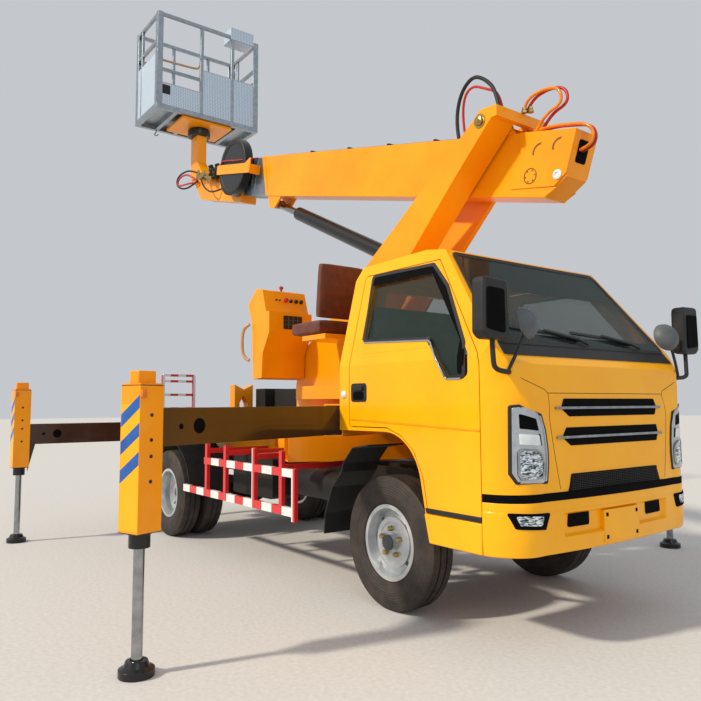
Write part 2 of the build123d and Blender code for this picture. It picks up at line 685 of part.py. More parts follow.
# Turntable and the inclined column that carries the boom: a box on the right, a plate on the left
turntable_top = turntable_low + turntable_thick
plate = Pos(slew_x, 0) * Circle(340)
plate += Pos((slew_x - 1000) / 2, 0) * Rectangle(slew_x * -1 - 1000, 800)
turntable = upward(plate, turntable_low, turntable_top)
column_outline = [(349, 3033), (404, 3082), (541, 3074), (541, 3004), (497, 3004), (135, 2668), (-240, 2300),
                  (-430, 2165), (-700, 1850), (-950, turntable_top), (-1760, turntable_top), (-1720, 1650),
                  (-1300, 1880), (-667, 2346), (228, 2954)]
near_box = across(polygon(column_outline), column_near, -column_inner)
far_plate = across(polygon(column_outline), column_inner, column_inner + far_plate_wall)
base_box = across(polygon([(-950, turntable_top), (-1760, turntable_top), (-1720, 1650), (-1300, 1880),
                           (-800, 1800)]), -column_inner, column_inner)
head = across(polygon([(500, 3004), (541, 3004), (541, 3074), (404, 3082), (404, 3074), (500, 3069)]),
              -column_inner, column_inner)
column = turntable + near_box + far_plate + base_box + head
column -= bar((pin_x, -400, pin_z), (pin_x, 200, pin_z), pin_radius + 1)
column -= bar((cyl_base_x, -column_inner - 60, cyl_base_z), (cyl_base_x, 200, cyl_base_z), pin_radius + 1)

# Operator's place on the turret: console on its bracket and the seat on its stand
console_near, console_far = -740, -332
console_side = [(-1769, 1442), (-1625, 1450), (-1612, 1649), (-1506, 1819), (-1508, 1983), (-1560, 1990),
                (-1620, 2170), (-1717, 2194), (-1865, 2071), (-1794, 1909)]
console = across(polygon(console_side), console_near, console_far)
console += block((-1760, -1640), (console_far - 10, column_near), (1450, 1560))
add("console", console)
stand = block((-1000, -700), (-750, -340), (1700, 1735))
stand += across(polygon([(-980, 1702), (-720, 1702), (-900, 1480), (-1060, 1386), (-1200, 1386)]), -345, column_near)
column += stand
add("column", column)
seat_cushion = block((-1180, -790), (-740, -345), (1736, 1860))
seat_back = across(polygon([(-850, 1861), (-760, 1861), (-725, 2260), (-800, 2260)]), -740, -345)
add("operator_seat", seat_cushion, seat_back)


def in_boom(s, n):
    """Point of the boom's own frame in (X, Z)."""
    a = radians(boom_angle)
    return pin_x - s * cos(a) + n * sin(a), pin_z + s * sin(a) + n * cos(a)


def boom_face(points):
    """Face in (X, Z) from points along and square to the boom."""
    return polygon([in_boom(s, n) for s, n in points])


# Boom: the outer box with its cut mouth, doubler plates and ears at the pin, then the nested sections
boom_low = boom_top - boom_depth
outer_box = boom_face([(butt_end, boom_top), (mouth_top, boom_top), (mouth_low, boom_low),
                       (butt_end + 150, boom_low), (butt_end + 20, boom_low + 130)])
wall = section_wall
hollow = boom_face([(butt_end + 30, boom_top - wall), (mouth_top + 400, boom_top - wall),
                    (mouth_low + 400, boom_low + wall), (butt_end + 160, boom_low + wall),
                    (butt_end + 40, boom_low + 140)])
boom = across(outer_box, -boom_half, boom_half) - across(hollow, -boom_half + wall, boom_half - wall)
doubler = boom_face([(butt_end, boom_top + 2), (-150, boom_top + 2), (-190, -180), (-130, -300), (-150, -390),
                     (-300, boom_low + 60), (butt_end + 90, boom_low + 70), (butt_end + 20, boom_low + 150)])
ear_face = boom_face([(-90, boom_top - 1), (-48, 30), (-20, 52), (20, 52), (48, 30), (90, boom_top - 1)])
for out in (1, -1):
    low, high = sorted((out * boom_half, out * (boom_half + 10)))
    boom += across(doubler, low, high)
    low, high = sorted((out * (boom_half - 25), out * (boom_half + 10)))
    boom += across(ear_face, low, high)
boom += bar((pin_x, column_near - 14, pin_z), (pin_x, column_inner + far_plate_wall + 14, pin_z), pin_radius)
eye_x, eye_z = in_boom(cyl_eye_s, cyl_eye_n)
lug_near, lug_far = barrel_radius + 8, boom_half - 5
for y in (-lug_far, lug_near):
    lug = boom_face([(cyl_eye_s - 150, boom_low + 2), (cyl_eye_s - 46, cyl_eye_n - 46), (cyl_eye_s + 46, cyl_eye_n - 46),
                     (cyl_eye_s + 110, boom_low + 2)])
    boom += across(lug, y, y + lug_far - lug_near)
boom += bar((eye_x, -lug_far, eye_z), (eye_x, lug_far, eye_z), pin_radius)
add("boom_outer", boom)

count = 4
for number in range(1, count + 1):
    gap = number * section_step
    half = boom_half - gap
    top = boom_top - gap
    low = boom_low + gap
    start = butt_end + 180 + 30 * number
    end = mouth_top + 60 + collar_step * number
    box = boom_face([(start, top), (end, top), (end, low), (start, low)])
    void = boom_face([(start - 10, top - wall), (end + 10, top - wall), (end + 10, low + wall), (start - 10, low + wall)])
    section = across(box, -half, half) - across(void, -half + wall, half - wall)
    name = f"boom_section_{number + 1}"
    if number < count:
        face = boom_face([(end - 50, boom_top - 4), (end, boom_top - 4), (end, boom_low + 4), (end - 50, boom_low + 4)])
        bore = boom_face([(end - 60, top - 1), (end + 10, top - 1), (end + 10, low + 1), (end - 60, low + 1)])
        section += across(face, -boom_half + 4, boom_half - 4) - across(bore, -half + 1, half - 1)
    if number < count:
        add(name, section)

# Tip bracket on the last section, with the hose drum and the levelling pin
bracket_start = mouth_top + 60 + collar_step * count - 20
tip_face = boom_face([(bracket_start, -90), (4560, -190), (4932, -330), (4727, -486), (bracket_start, -506)])
level_x, level_z = in_boom(level_s, level_n)
tip = across(tip_face, -boom_half + 4, boom_half - 4)
tip -= across(boom_face([(4560, -100), (5100, -100), (5100, -600), (4640, -600)]), -70, 70)
tip += section + bar((level_x, -110, level_z), (level_x, 110, level_z), pin_radius)
add(name, tip)
drum_x, drum_z = -3259, 3784
drum_near, drum_far = -205, -118
drum = bar((drum_x, drum_near, drum_z), (drum_x, drum_far, drum_z), 305)
add("hose_drum", drum)

# Basket post: levelling bracket on the tip's pin, the post and the rotator's lower half
post_x = -4600
post_top = 4580
post = across(polygon([(level_x + 60, level_z - 60), (level_x + 60, level_z + 80), (post_x + 95, level_z + 330),
                       (post_x + 95, post_top), (post_x - 95, post_top), (post_x - 95, level_z + 160),
                       (level_x - 80, level_z - 60)]), -60, 60)
post -= bar((level_x, -100, level_z), (level_x, 100, level_z), pin_radius + 1)
add("basket_post", post)

# Basket: floor and beams, tube frame, panels and control box
floor_low = basket_low
floor_wall = 60
seat_plate = Pos(post_x, 0, post_top + 3 + 60) * Cylinder(120, 116)
seat_plate += block((post_x - 260, post_x + 260), (-330, 330), (post_top + 100, floor_low))
floor = block((basket_back, basket_front), (-basket_half, basket_half), (floor_low, floor_low + floor_wall))
top_z = floor_low + basket_height
t = basket_tube
rails = None
for x in (basket_back, basket_front - t):
    for y in (-basket_half, basket_half - t, -t / 2):
        upright = block((x, x + t), (y, y + t), (floor_low + floor_wall, top_z))
        rails = upright if rails is None else rails + upright
for z in (top_z - t, floor_low + floor_wall + 520):
    ring = block((basket_back, basket_front), (-basket_half, basket_half), (z, z + t))
    ring -= block((basket_back + t, basket_front - t), (-basket_half + t, basket_half - t), (z - 1, z + t + 1))
    rails += ring
rails += block((basket_front - 190, basket_front - 10), (240, 500), (top_z - 4, top_z + 150))
add("basket", rails + floor + seat_plate)

# Boom cylinder: the barrel turns on its base pin, the rod slides in it and meets the boom's lug
run = hypot(eye_x - cyl_base_x, eye_z - cyl_base_z)
ux, uz = (eye_x - cyl_base_x) / run, (eye_z - cyl_base_z) / run


def on_cylinder(distance, y=0):
    """Point on the cylinder's axis, counted from its base pin."""
    return cyl_base_x + ux * distance, y, cyl_base_z + uz * distance


barrel_end = run - rod_showing
barrel = bar(on_cylinder(-52), on_cylinder(barrel_end), barrel_radius)
barrel -= bar(on_cylinder(60), on_cylinder(barrel_end + 10), cyl_rod_radius + 6)
barrel += bar((cyl_base_x, -108, cyl_base_z), (cyl_base_x, 108, cyl_base_z), pin_radius)
add("boom_cylinder_barrel", barrel)
rod = bar(on_cylinder(650), on_cylinder(run - 30), cyl_rod_radius)
rod += bar((eye_x, -36, eye_z), (eye_x, 36, eye_z), 44)
rod -= bar((eye_x, -60, eye_z), (eye_x, 60, eye_z), pin_radius + 1)
add("boom_cylinder_rod", rod)


if __name__ == "__main__":
    os.makedirs("parts", exist_ok=True)
    for name, shape in nodes.items():
        export_step(Pos(frame_shift, 0, 0) * shape, f"parts/{name}.step")
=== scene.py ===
"""Looks of the cherry picker truck: enamel, rubber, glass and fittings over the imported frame."""

from math import cos, hypot, pi, radians, sin, sqrt, tan

import bmesh
import bpy
from mathutils import Matrix, Vector


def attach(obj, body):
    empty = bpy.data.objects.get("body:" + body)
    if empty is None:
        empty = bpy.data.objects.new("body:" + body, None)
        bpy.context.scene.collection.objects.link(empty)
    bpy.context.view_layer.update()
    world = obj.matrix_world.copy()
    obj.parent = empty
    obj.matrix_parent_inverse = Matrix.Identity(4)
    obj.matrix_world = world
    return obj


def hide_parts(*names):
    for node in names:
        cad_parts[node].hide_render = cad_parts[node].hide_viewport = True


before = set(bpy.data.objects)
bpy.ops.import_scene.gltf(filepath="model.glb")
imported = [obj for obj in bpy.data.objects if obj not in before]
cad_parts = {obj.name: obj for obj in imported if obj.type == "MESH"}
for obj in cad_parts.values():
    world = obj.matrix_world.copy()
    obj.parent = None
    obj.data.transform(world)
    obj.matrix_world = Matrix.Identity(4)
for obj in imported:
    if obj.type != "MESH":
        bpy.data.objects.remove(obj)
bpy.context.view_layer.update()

# Places are in millimetres from the ground under the front axle, as on the truck's drawing
WHEELBASE = 3100
FRONT_AXLE = 1.966
REAR_AXLE = FRONT_AXLE - WHEELBASE / 1000
AXLE_HEIGHT = 400
BOOM_ANGLE = radians(14.2)
BOOM_PIN = (404, 3011)
BOOM_UP = (0.245, 0, 0.97)


def place(x, y, z):
    """A point of the drawing, in the frame's metres."""
    return Vector((x / 1000 + FRONT_AXLE, y / 1000, z / 1000))


def on_boom(s, n):
    """X and Z of a point along and square to the boom, counted from its pin."""
    return (BOOM_PIN[0] - s * cos(BOOM_ANGLE) + n * sin(BOOM_ANGLE),
            BOOM_PIN[1] + s * sin(BOOM_ANGLE) + n * cos(BOOM_ANGLE))


# Materials
def srgb(colour):
    """A hex colour as linear RGBA."""
    channels = [int(colour[i:i + 2], 16) / 255 for i in (1, 3, 5)]
    return [c / 12.92 if c <= 0.04045 else ((c + 0.055) / 1.055) ** 2.4 for c in channels] + [1.0]


def set_stops(colours, stops):
    """Puts (position, hex) stops on a range of colours."""
    while len(colours.elements) < len(stops):
        colours.elements.new(1)
    for element, (position, colour) in zip(colours.elements, stops):
        element.position = position
        element.color = srgb(colour)


def add(tree, kind, settings=None, **links):
    """A node with its settings, its sockets set to values or linked to other nodes' outputs."""
    made = tree.nodes.new("ShaderNode" + kind)
    for key, value in (settings or {}).items():
        if key == "stops":
            set_stops(made.color_ramp, value)
        else:
            setattr(made, key, value)
    for key, value in links.items():
        socket = made.inputs[int(key[1:])] if key[0] == "_" else made.inputs[key.replace("_", " ")]
        if isinstance(value, bpy.types.NodeSocket):
            tree.links.new(value, socket)
        else:
            socket.default_value = value
    return made


def shader(name, **values):
    """A material with its surface shader's own sockets set."""
    made = bpy.data.materials.new(name)
    made.use_nodes = True
    surface = made.node_tree.nodes["Principled BSDF"]
    for key, value in values.items():
        surface.inputs[key.replace("_", " ")].default_value = value
    return made, made.node_tree, surface


def join(tree, surface, **outputs):
    """Links other nodes' outputs to the surface shader's sockets."""
    for key, output in outputs.items():
        tree.links.new(output, surface.inputs[key.replace("_", " ")])


def enamel(name, colour, deep, rough=0.32, coat=0.2):
    """Sprayed two-pack enamel on steel: faint orange peel of about 3 mm, clear top layer, patches of dust."""
    made, tree, surface = shader(name, Roughness=rough, Specular_IOR_Level=0.3, Coat_Weight=coat,
                                 Coat_Roughness=0.06)
    spot = add(tree, "TexCoord").outputs["Object"]
    patches = add(tree, "TexNoise", Vector=spot, Scale=2.3, Detail=5.0, Roughness=0.6).outputs["Fac"]
    paint = add(tree, "ValToRGB", {"stops": [(0.3, deep), (0.62, colour)]}, Fac=patches).outputs["Color"]
    peel = add(tree, "TexNoise", Vector=spot, Scale=330.0, Detail=1.0).outputs["Fac"]
    relief = add(tree, "Bump", Height=peel, Strength=0.08, Distance=0.0006).outputs["Normal"]
    join(tree, surface, Base_Color=paint, Normal=relief)
    return made


yellow_enamel = enamel("yellow_enamel", "#FFB400", "#FBA900")
# The same yellow enamel made darker and more orange: painted shade.
yellow_enamel_painted_shade = enamel("yellow_enamel_painted_shade", "#FCA000", "#F59300")
black_enamel = enamel("black_enamel", "#17181A", "#101112", 0.35, 0.3)
chassis_black = enamel("chassis_black_enamel", "#1B1B1C", "#26231F", 0.55, 0.0)
primer_brown = enamel("bare_brown_beam_enamel", "#3A2418", "#2A1A12", 0.3, 0.5)


def silver_wheel_paint():
    """Silver wheel enamel: metal flake of about 1.7 mm in a clear binder, a little brake dust."""
    made, tree, surface = shader("silver_wheel_enamel", Roughness=0.34, Metallic=0.55, Coat_Weight=0.3)
    spot = add(tree, "TexCoord").outputs["Object"]
    dust = add(tree, "TexNoise", Vector=spot, Scale=7.0, Detail=5.0).outputs["Fac"]
    stops = [(0.3, "#A9AEB2"), (0.7, "#D5D9DC")]
    silver = add(tree, "ValToRGB", {"stops": stops}, Fac=dust).outputs["Color"]
    flake = add(tree, "TexNoise", Vector=spot, Scale=600.0, Detail=3.0).outputs["Fac"]
    relief = add(tree, "Bump", Height=flake, Strength=0.06, Distance=0.0004).outputs["Normal"]
    join(tree, surface, Base_Color=silver, Normal=relief)
    return made


wheel_silver = silver_wheel_paint()


def glass(name, tint, alpha):
    """Tempered glass: smooth, tinted, clear enough to show what is behind it."""
    made, tree, surface = shader(name, Roughness=0.03, IOR=1.5, Base_Color=srgb(tint), Alpha=alpha)
    spot = add(tree, "TexCoord").outputs["Object"]
    streaks = add(tree, "TexNoise", Vector=spot, Scale=3.0, Detail=2.0).outputs["Fac"]
    haze = add(tree, "MapRange", Value=streaks, _3=0.02, _4=0.06).outputs[0]
    join(tree, surface, Roughness=haze)
    return made


cab_glass = glass("tinted_tempered_glass", "#33443F", 0.3)
lamp_glass = glass("clear_polycarbonate", "#DDE6EC", 0.22)


def moulded(name, colour, deep, rough=0.55):
    """Plastic, tape or sealer with a fine grain of about 1 mm."""
    made, tree, surface = shader(name, Roughness=rough, IOR=1.49)
    spot = add(tree, "TexCoord").outputs["Object"]
    tone = add(tree, "TexNoise", Vector=spot, Scale=14.0, Detail=3.0).outputs["Fac"]
    dye = add(tree, "ValToRGB", {"stops": [(0.35, deep), (0.65, colour)]}, Fac=tone).outputs["Color"]
    grain = add(tree, "TexNoise", Vector=spot, Scale=900.0, Detail=2.0).outputs["Fac"]
    relief = add(tree, "Bump", Height=grain, Strength=0.2, Distance=0.0004).outputs["Normal"]
    join(tree, surface, Base_Color=dye, Normal=relief)
    return made


black_plastic = moulded("black_polypropylene", "#1B1C1E", "#131416")
grey_plastic = moulded("grey_polypropylene", "#5A5E62", "#4B4F53")


def metal(name, colour, deep, rough):
    """Bare or plated metal, a little uneven in tone, with marks of about 1.5 mm."""
    made, tree, surface = shader(name, Roughness=rough, Metallic=1.0)
    spot = add(tree, "TexCoord").outputs["Object"]
    tone = add(tree, "TexNoise", Vector=spot, Scale=25.0, Detail=4.0).outputs["Fac"]
    shine = add(tree, "ValToRGB", {"stops": [(0.3, deep), (0.7, colour)]}, Fac=tone).outputs["Color"]
    marks = add(tree, "TexNoise", Vector=spot, Scale=700.0, Detail=3.0).outputs["Fac"]
    relief = add(tree, "Bump", Height=marks, Strength=0.05, Distance=0.0003).outputs["Normal"]
    join(tree, surface, Base_Color=shine, Normal=relief)
    return made


hard_chrome = metal("hard_chrome_plate", "#A9ADB1", "#8D9195", 0.1)
zinc_plate = metal("yellow_zinc_plate", "#C9AE6A", "#A88F50", 0.3)
galvanised = metal("galvanised_steel", "#AEB6BD", "#97A0A8", 0.38)
raw_aluminium = metal("mill_aluminium", "#C6CBD0", "#B2B8BE", 0.3)


def seat_cover(name, colour, deep):
    """Coated seat fabric: soft grain of about 2 mm and a dull sheen."""
    made, tree, surface = shader(name, Roughness=0.5, IOR=1.48, Sheen_Weight=0.15)
    spot = add(tree, "TexCoord").outputs["Object"]
    tone = add(tree, "TexNoise", Vector=spot, Scale=18.0, Detail=4.0).outputs["Fac"]
    dye = add(tree, "ValToRGB", {"stops": [(0.3, deep), (0.7, colour)]}, Fac=tone).outputs["Color"]
    cells = add(tree, "TexVoronoi", Vector=spot, Scale=420.0).outputs["Distance"]
    relief = add(tree, "Bump", Height=cells, Strength=0.3, Distance=0.0006).outputs["Normal"]
    join(tree, surface, Base_Color=dye, Normal=relief)
    return made


brown_vinyl = seat_cover("brown_vinyl", "#6B2C0E", "#4E1E08")
grey_cloth = seat_cover("grey_cloth", "#4A4C50", "#3A3C40")

lamp_amber = moulded("amber_polycarbonate", "#F08A10", "#D87408", 0.15)
white_plastic = moulded("white_polycarbonate", "#E8ECEE", "#D6DADC", 0.3)
blue_tape = moulded("blue_marking_tape", "#1E62B8", "#18529C", 0.3)
red_hose = moulded("red_hose_cover", "#C8201C", "#A81814", 0.4)
tan_plastic = moulded("tan_pvc_tube", "#C9A27C", "#B48C66", 0.4)
# Near-black with little shine: painted shade in openings, gaps and recesses, and the black of trim and
# fixings.
black_trim_and_painted_shade = moulded("unlit_opening_black", "#08080A", "#050506", 0.8)
black_trim_and_painted_shade.node_tree.nodes["Principled BSDF"].inputs["Specular IOR Level"].default_value = 0.08
# Brown for the sealed panel joints and the ring and screws on the boom's butt, and painted shade in the
# crescent arcs there.
sealer_and_painted_shade = moulded("sealer_brown_and_painted_shade", "#7A4A06", "#6A3E04", 0.6)


def striped(name, first, second, axis, width):
    """Retroreflective tape in two colours that take turns along an axis, with a little road dirt."""
    made, tree, surface = shader(name, Roughness=0.35, Coat_Weight=0.3)
    spot = add(tree, "TexCoord").outputs["Object"]
    way = add(tree, "SeparateXYZ", Vector=spot).outputs[axis]
    turn = add(tree, "Math", {"operation": "MULTIPLY"}, _0=way, _1=0.5 / width).outputs[0]
    part = add(tree, "Math", {"operation": "FRACT"}, _0=turn).outputs[0]
    odd = add(tree, "Math", {"operation": "GREATER_THAN"}, _0=part, _1=0.5).outputs[0]
    tape = add(tree, "Mix", {"data_type": "RGBA"}, _0=odd, _6=srgb(first), _7=srgb(second)).outputs[2]
    dust = add(tree, "TexNoise", Vector=spot, Scale=30.0, Detail=4.0).outputs["Fac"]
    soiled = add(tree, "MapRange", Value=dust, _3=0.0, _4=0.18).outputs[0]
    tape = add(tree, "Mix", {"data_type": "RGBA"}, _0=soiled, _6=tape, _7=srgb("#6E6862")).outputs[2]
    beads = add(tree, "TexNoise", Vector=spot, Scale=500.0, Detail=1.0).outputs["Fac"]
    relief = add(tree, "Bump", Height=beads, Strength=0.1, Distance=0.0003).outputs["Normal"]
    join(tree, surface, Base_Color=tape, Normal=relief)
    return made


guard_tape = striped("red_white_guard_tape", "#D8141C", "#ECEDED", 0, 0.144)
rail_tape = striped("red_white_rail_tape", "#D8141C", "#ECEDED", 1, 0.09)


def expanded_mesh():
    """Expanded steel sheet, zinc coated: a lattice of diamonds 22 mm wide and 18 mm high."""
    made, tree, surface = shader("expanded_zinc_mesh", Roughness=0.45, Metallic=0.4)
    spot = add(tree, "SeparateXYZ", Vector=add(tree, "TexCoord").outputs["Object"])
    level = add(tree, "Math", {"operation": "ADD"}, _0=spot.outputs[0], _1=spot.outputs[1]).outputs[0]
    across = add(tree, "Math", {"operation": "MULTIPLY"}, _0=level, _1=2 * pi / 0.044).outputs[0]
    upright = add(tree, "Math", {"operation": "MULTIPLY"}, _0=spot.outputs[2], _1=2 * pi / 0.036).outputs[0]
    rising = add(tree, "Math", {"operation": "ADD"}, _0=across, _1=upright).outputs[0]
    falling = add(tree, "Math", {"operation": "SUBTRACT"}, _0=across, _1=upright).outputs[0]
    first = add(tree, "Math", {"operation": "SINE"}, _0=rising).outputs[0]
    second = add(tree, "Math", {"operation": "SINE"}, _0=falling).outputs[0]
    holes = add(tree, "Math", {"operation": "MULTIPLY"}, _0=first, _1=second).outputs[0]
    stops = [(0.0, "#D6E2EC"), (0.2, "#B4C6D6"), (0.5, "#86A6C4")]
    zinc = add(tree, "ValToRGB", {"stops": stops}, Fac=holes).outputs["Color"]
    relief = add(tree, "Bump", Height=holes, Strength=0.4, Distance=0.003).outputs["Normal"]
    join(tree, surface, Base_Color=zinc, Normal=relief)
    return made


mesh_sheet = expanded_mesh()


def metallised_reflector():
    """Metallised lamp reflector: uneven bright and dark optics, about 30 mm wide and 10 mm high; the bright
    and dark patches are painted reflections.
    """
    made, tree, surface = shader("metallised_reflector", Roughness=0.12, Metallic=0.9)
    spot = add(tree, "TexCoord").outputs["Object"]
    flat = add(tree, "Mapping", Vector=spot, Scale=(1.0, 1.0, 3.2)).outputs[0]
    cells = add(tree, "TexNoise", Vector=flat, Scale=30.0, Detail=2.0, Distortion=1.2).outputs["Fac"]
    # Painted reflection: dark and bright patches put into the base colour.
    stops = [(0.36, "#20262C"), (0.48, "#9AA8B4"), (0.6, "#F4F8FC")]
    mirror = add(tree, "ValToRGB", {"stops": stops}, Fac=cells).outputs["Color"]
    relief = add(tree, "Bump", Height=cells, Strength=0.5, Distance=0.006).outputs["Normal"]
    join(tree, surface, Base_Color=mirror, Normal=relief)
    return made


reflector = metallised_reflector()


def tyre_of(name, axle):
    """Dusty vulcanised rubber: moulded rings on the side wall, cross grooves in the tread, round one axle."""
    made, tree, surface = shader(name, Roughness=0.7, IOR=1.52)
    spot = add(tree, "TexCoord").outputs["Object"]
    way = add(tree, "SeparateXYZ", Vector=spot)
    x = add(tree, "Math", {"operation": "SUBTRACT"}, _0=way.outputs[0], _1=axle).outputs[0]
    z = add(tree, "Math", {"operation": "SUBTRACT"}, _0=way.outputs[2], _1=AXLE_HEIGHT / 1000).outputs[0]
    spoke = add(tree, "CombineXYZ", _0=x, _1=z).outputs[0]
    radius = add(tree, "VectorMath", {"operation": "LENGTH"}, _0=spoke).outputs["Value"]
    angle = add(tree, "Math", {"operation": "ARCTAN2"}, _0=z, _1=x).outputs[0]
    outwards = add(tree, "Math", {"operation": "MULTIPLY"}, _0=radius, _1=420.0).outputs[0]
    rings = add(tree, "Math", {"operation": "SINE"}, _0=outwards).outputs[0]
    around = add(tree, "Math", {"operation": "MULTIPLY"}, _0=angle, _1=66.0).outputs[0]
    wave = add(tree, "Math", {"operation": "SINE"}, _0=around).outputs[0]
    grooves = add(tree, "Math", {"operation": "GREATER_THAN"}, _0=wave, _1=0.72).outputs[0]
    sunken = add(tree, "Math", {"operation": "MULTIPLY"}, _0=grooves, _1=-6.0).outputs[0]
    tread = add(tree, "MapRange", Value=radius, _1=0.372, _2=0.384).outputs[0]
    height = add(tree, "Mix", {"data_type": "FLOAT"}, _0=tread, _2=rings, _3=sunken).outputs[0]
    dust = add(tree, "TexNoise", Vector=spot, Scale=9.0, Detail=6.0, Roughness=0.65).outputs["Fac"]
    stops = [(0.35, "#1E1B19"), (0.75, "#443830")]
    tone = add(tree, "ValToRGB", {"stops": stops}, Fac=dust).outputs["Color"]
    relief = add(tree, "Bump", Height=height, Strength=0.5, Distance=0.002).outputs["Normal"]
    join(tree, surface, Base_Color=tone, Normal=relief)
    return made


front_rubber = tyre_of("front_tyre_rubber", FRONT_AXLE)
rear_rubber = tyre_of("rear_tyre_rubber", REAR_AXLE)

# Materials on the frame's own nodes
finishes = {
    yellow_enamel: ["cab_shell", "door_left", "door_right", "front_bumper"],
    yellow_enamel_painted_shade: ["boom_outer", "boom_section_5", "column", "console", "basket_post", "subframe",
                   "boom_rest"],
    guard_tape: ["side_guards"],
    rail_tape: ["boarding_rail"],
    wheel_silver: ["front_rim_left", "front_rim_right", "rear_rims_left", "rear_rims_right"],
    front_rubber: ["front_tyre_left", "front_tyre_right"],
    rear_rubber: ["rear_tyres_left", "rear_tyres_right"],
    chassis_black: ["chassis_frame", "engine_and_shaft", "front_axle", "rear_axle", "knuckle_left",
                    "knuckle_right", "leaf_springs", "tanks_and_silencer", "deck"],
    black_enamel: ["boom_cylinder_barrel", "hose_drum"],
    black_plastic: ["mudguards", "mirrors", "grille", "dashboard"],
    lamp_glass: ["head_lamps"],
    cab_glass: ["cab_glass", "door_glass_left", "door_glass_right"],
    grey_cloth: ["cab_seats"],
    brown_vinyl: ["operator_seat"],
    hard_chrome: ["boom_cylinder_rod", "jack_front_left", "jack_front_right", "jack_rear_left",
                  "jack_rear_right"],
    galvanised: ["basket", "boom_section_2", "boom_section_3", "boom_section_4"],
    primer_brown: ["outrigger_beam_front_left", "outrigger_beam_front_right", "outrigger_beam_rear_left",
                   "outrigger_beam_rear_right"],
}
for finish, names in finishes.items():
    for name in names:
        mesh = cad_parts[name].data
        mesh.materials.clear()
        mesh.materials.append(finish)


# Tools for building pieces
def settle(name, bm, finish, body, soften=0.0015, sharp=35):
    """The built mesh as a piece that rides on a body, its edges rounded over."""
    bmesh.ops.recalc_face_normals(bm, faces=bm.faces)
    mesh = bpy.data.meshes.new(name)
    bm.to_mesh(mesh)
    bm.free()
    mesh.materials.append(finish)
    made = bpy.data.objects.new(name, mesh)
    bpy.context.scene.collection.objects.link(made)
    if soften:
        edge = made.modifiers.new("rounded_edges", "BEVEL")
        edge.width, edge.segments, edge.limit_method, edge.angle_limit = soften, 2, "ANGLE", radians(40)
    mesh.shade_smooth()
    mesh.set_sharp_from_angle(angle=radians(sharp))
    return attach(made, body)


def rounded(points, radius):
    """A closed outline with its corners rounded."""
    steps = 5
    made = []
    for i, corner in enumerate(points):
        before, corner, after = Vector(points[i - 1]), Vector(corner), Vector(points[(i + 1) % len(points)])
        u, v = (before - corner), (after - corner)
        cut = min(radius / tan(u.angle(v) / 2), u.length * 0.45, v.length * 0.45)
        start, end = corner + u.normalized() * cut, corner + v.normalized() * cut
        for k in range(steps + 1):
            t = k / steps
            made.append(tuple((1 - t) ** 2 * start + 2 * t * (1 - t) * corner + t * t * end))
    return made


def grown(points, by):
    """A closed outline moved outwards."""
    turn = 1 if sum(a[0] * b[1] - b[0] * a[1] for a, b in zip(points, points[1:] + points[:1])) > 0 else -1
    made = []
    for i, corner in enumerate(points):
        before, corner, after = Vector(points[i - 1]), Vector(corner), Vector(points[(i + 1) % len(points)])
        u, v = (corner - before).normalized(), (after - corner).normalized()
        n, m = Vector((u.y, -u.x)) * turn, Vector((v.y, -v.x)) * turn
        made.append(tuple(corner + (n + m) * by / (1 + n.dot(m))))
    return made


def prism(bm, outline, at, low, high):
    """Closed form between two heights over an outline; at turns (u, v, w) into a place."""
    bottom = [bm.verts.new(at(u, v, low)) for u, v in outline]
    top = [bm.verts.new(at(u, v, high)) for u, v in outline]
    bm.faces.new(bottom[::-1])
    bm.faces.new(top)
    for i in range(len(outline)):
        j = (i + 1) % len(outline)
        bm.faces.new((bottom[i], bottom[j], top[j], top[i]))


def clad(bm, outline, at, low, high, step=70):
    """The same over a curved face: the outline is cut into a grid that follows it."""
    piece = bmesh.new()
    piece.faces.new([piece.verts.new((u, v, 0)) for u, v in outline])
    for axis in (0, 1):
        values = [point[axis] for point in outline]
        cut = min(values) + step
        while cut < max(values) - 1:
            bmesh.ops.bisect_plane(piece, geom=piece.verts[:] + piece.edges[:] + piece.faces[:],
                                   plane_co=(cut, cut, 0), plane_no=(1 - axis, axis, 0))
            cut += step
    made = bmesh.ops.extrude_face_region(piece, geom=piece.faces[:], use_keep_orig=True)
    for vertex in [v for v in made["geom"] if isinstance(v, bmesh.types.BMVert)]:
        vertex.co.z = 1
    for vertex in piece.verts:
        vertex.co = at(vertex.co.x, vertex.co.y, high if vertex.co.z > 0.5 else low)
    keep = bpy.data.meshes.new("layer")
    piece.to_mesh(keep)
    piece.free()
    bm.from_mesh(keep)
    bpy.data.meshes.remove(keep)


def band(bm, outer, inner, at, low, high):
    """Closed strip between two outlines of as many points."""
    rings = [[bm.verts.new(at(u, v, w)) for u, v in line]
             for line, w in ((outer, low), (outer, high), (inner, high), (inner, low))]
    for i in range(len(outer)):
        j = (i + 1) % len(outer)
        for a in range(4):
            b = (a + 1) % 4
            bm.faces.new((rings[a][i], rings[a][j], rings[b][j], rings[b][i]))


def strip(bm, line, width, at, low, high):
    """Closed strip of one width along an open line."""
    for (u0, v0), (u1, v1) in zip(line, line[1:]):
        along = Vector((u1 - u0, v1 - v0)).normalized()
        n = Vector((-along.y, along.x)) * width / 2
        a, b = Vector((u0, v0)) - along * width / 2, Vector((u1, v1)) + along * width / 2
        clad(bm, [tuple(a - n), tuple(b - n), tuple(b + n), tuple(a + n)], at, low, high, 60)


def turned(bm, profile, centre, axis, steps=32):
    """Closed turned form: (radius, height) pairs round an axis through centre, in millimetres."""
    axis = Vector(axis).normalized()
    u = axis.orthogonal().normalized()
    v = axis.cross(u)
    rings = []
    for k in range(steps):
        a = 2 * pi * k / steps
        spoke = u * cos(a) + v * sin(a)
        rings.append([bm.verts.new(place(*(Vector(centre) + spoke * max(r, 0.05) + axis * h)))
                      for r, h in profile])
    for k in range(steps):
        for i in range(len(profile)):
            j = (i + 1) % len(profile)
            bm.faces.new((rings[k][i], rings[k][j], rings[(k + 1) % steps][j], rings[(k + 1) % steps][i]))
    bmesh.ops.remove_doubles(bm, verts=bm.verts, dist=0.00008)


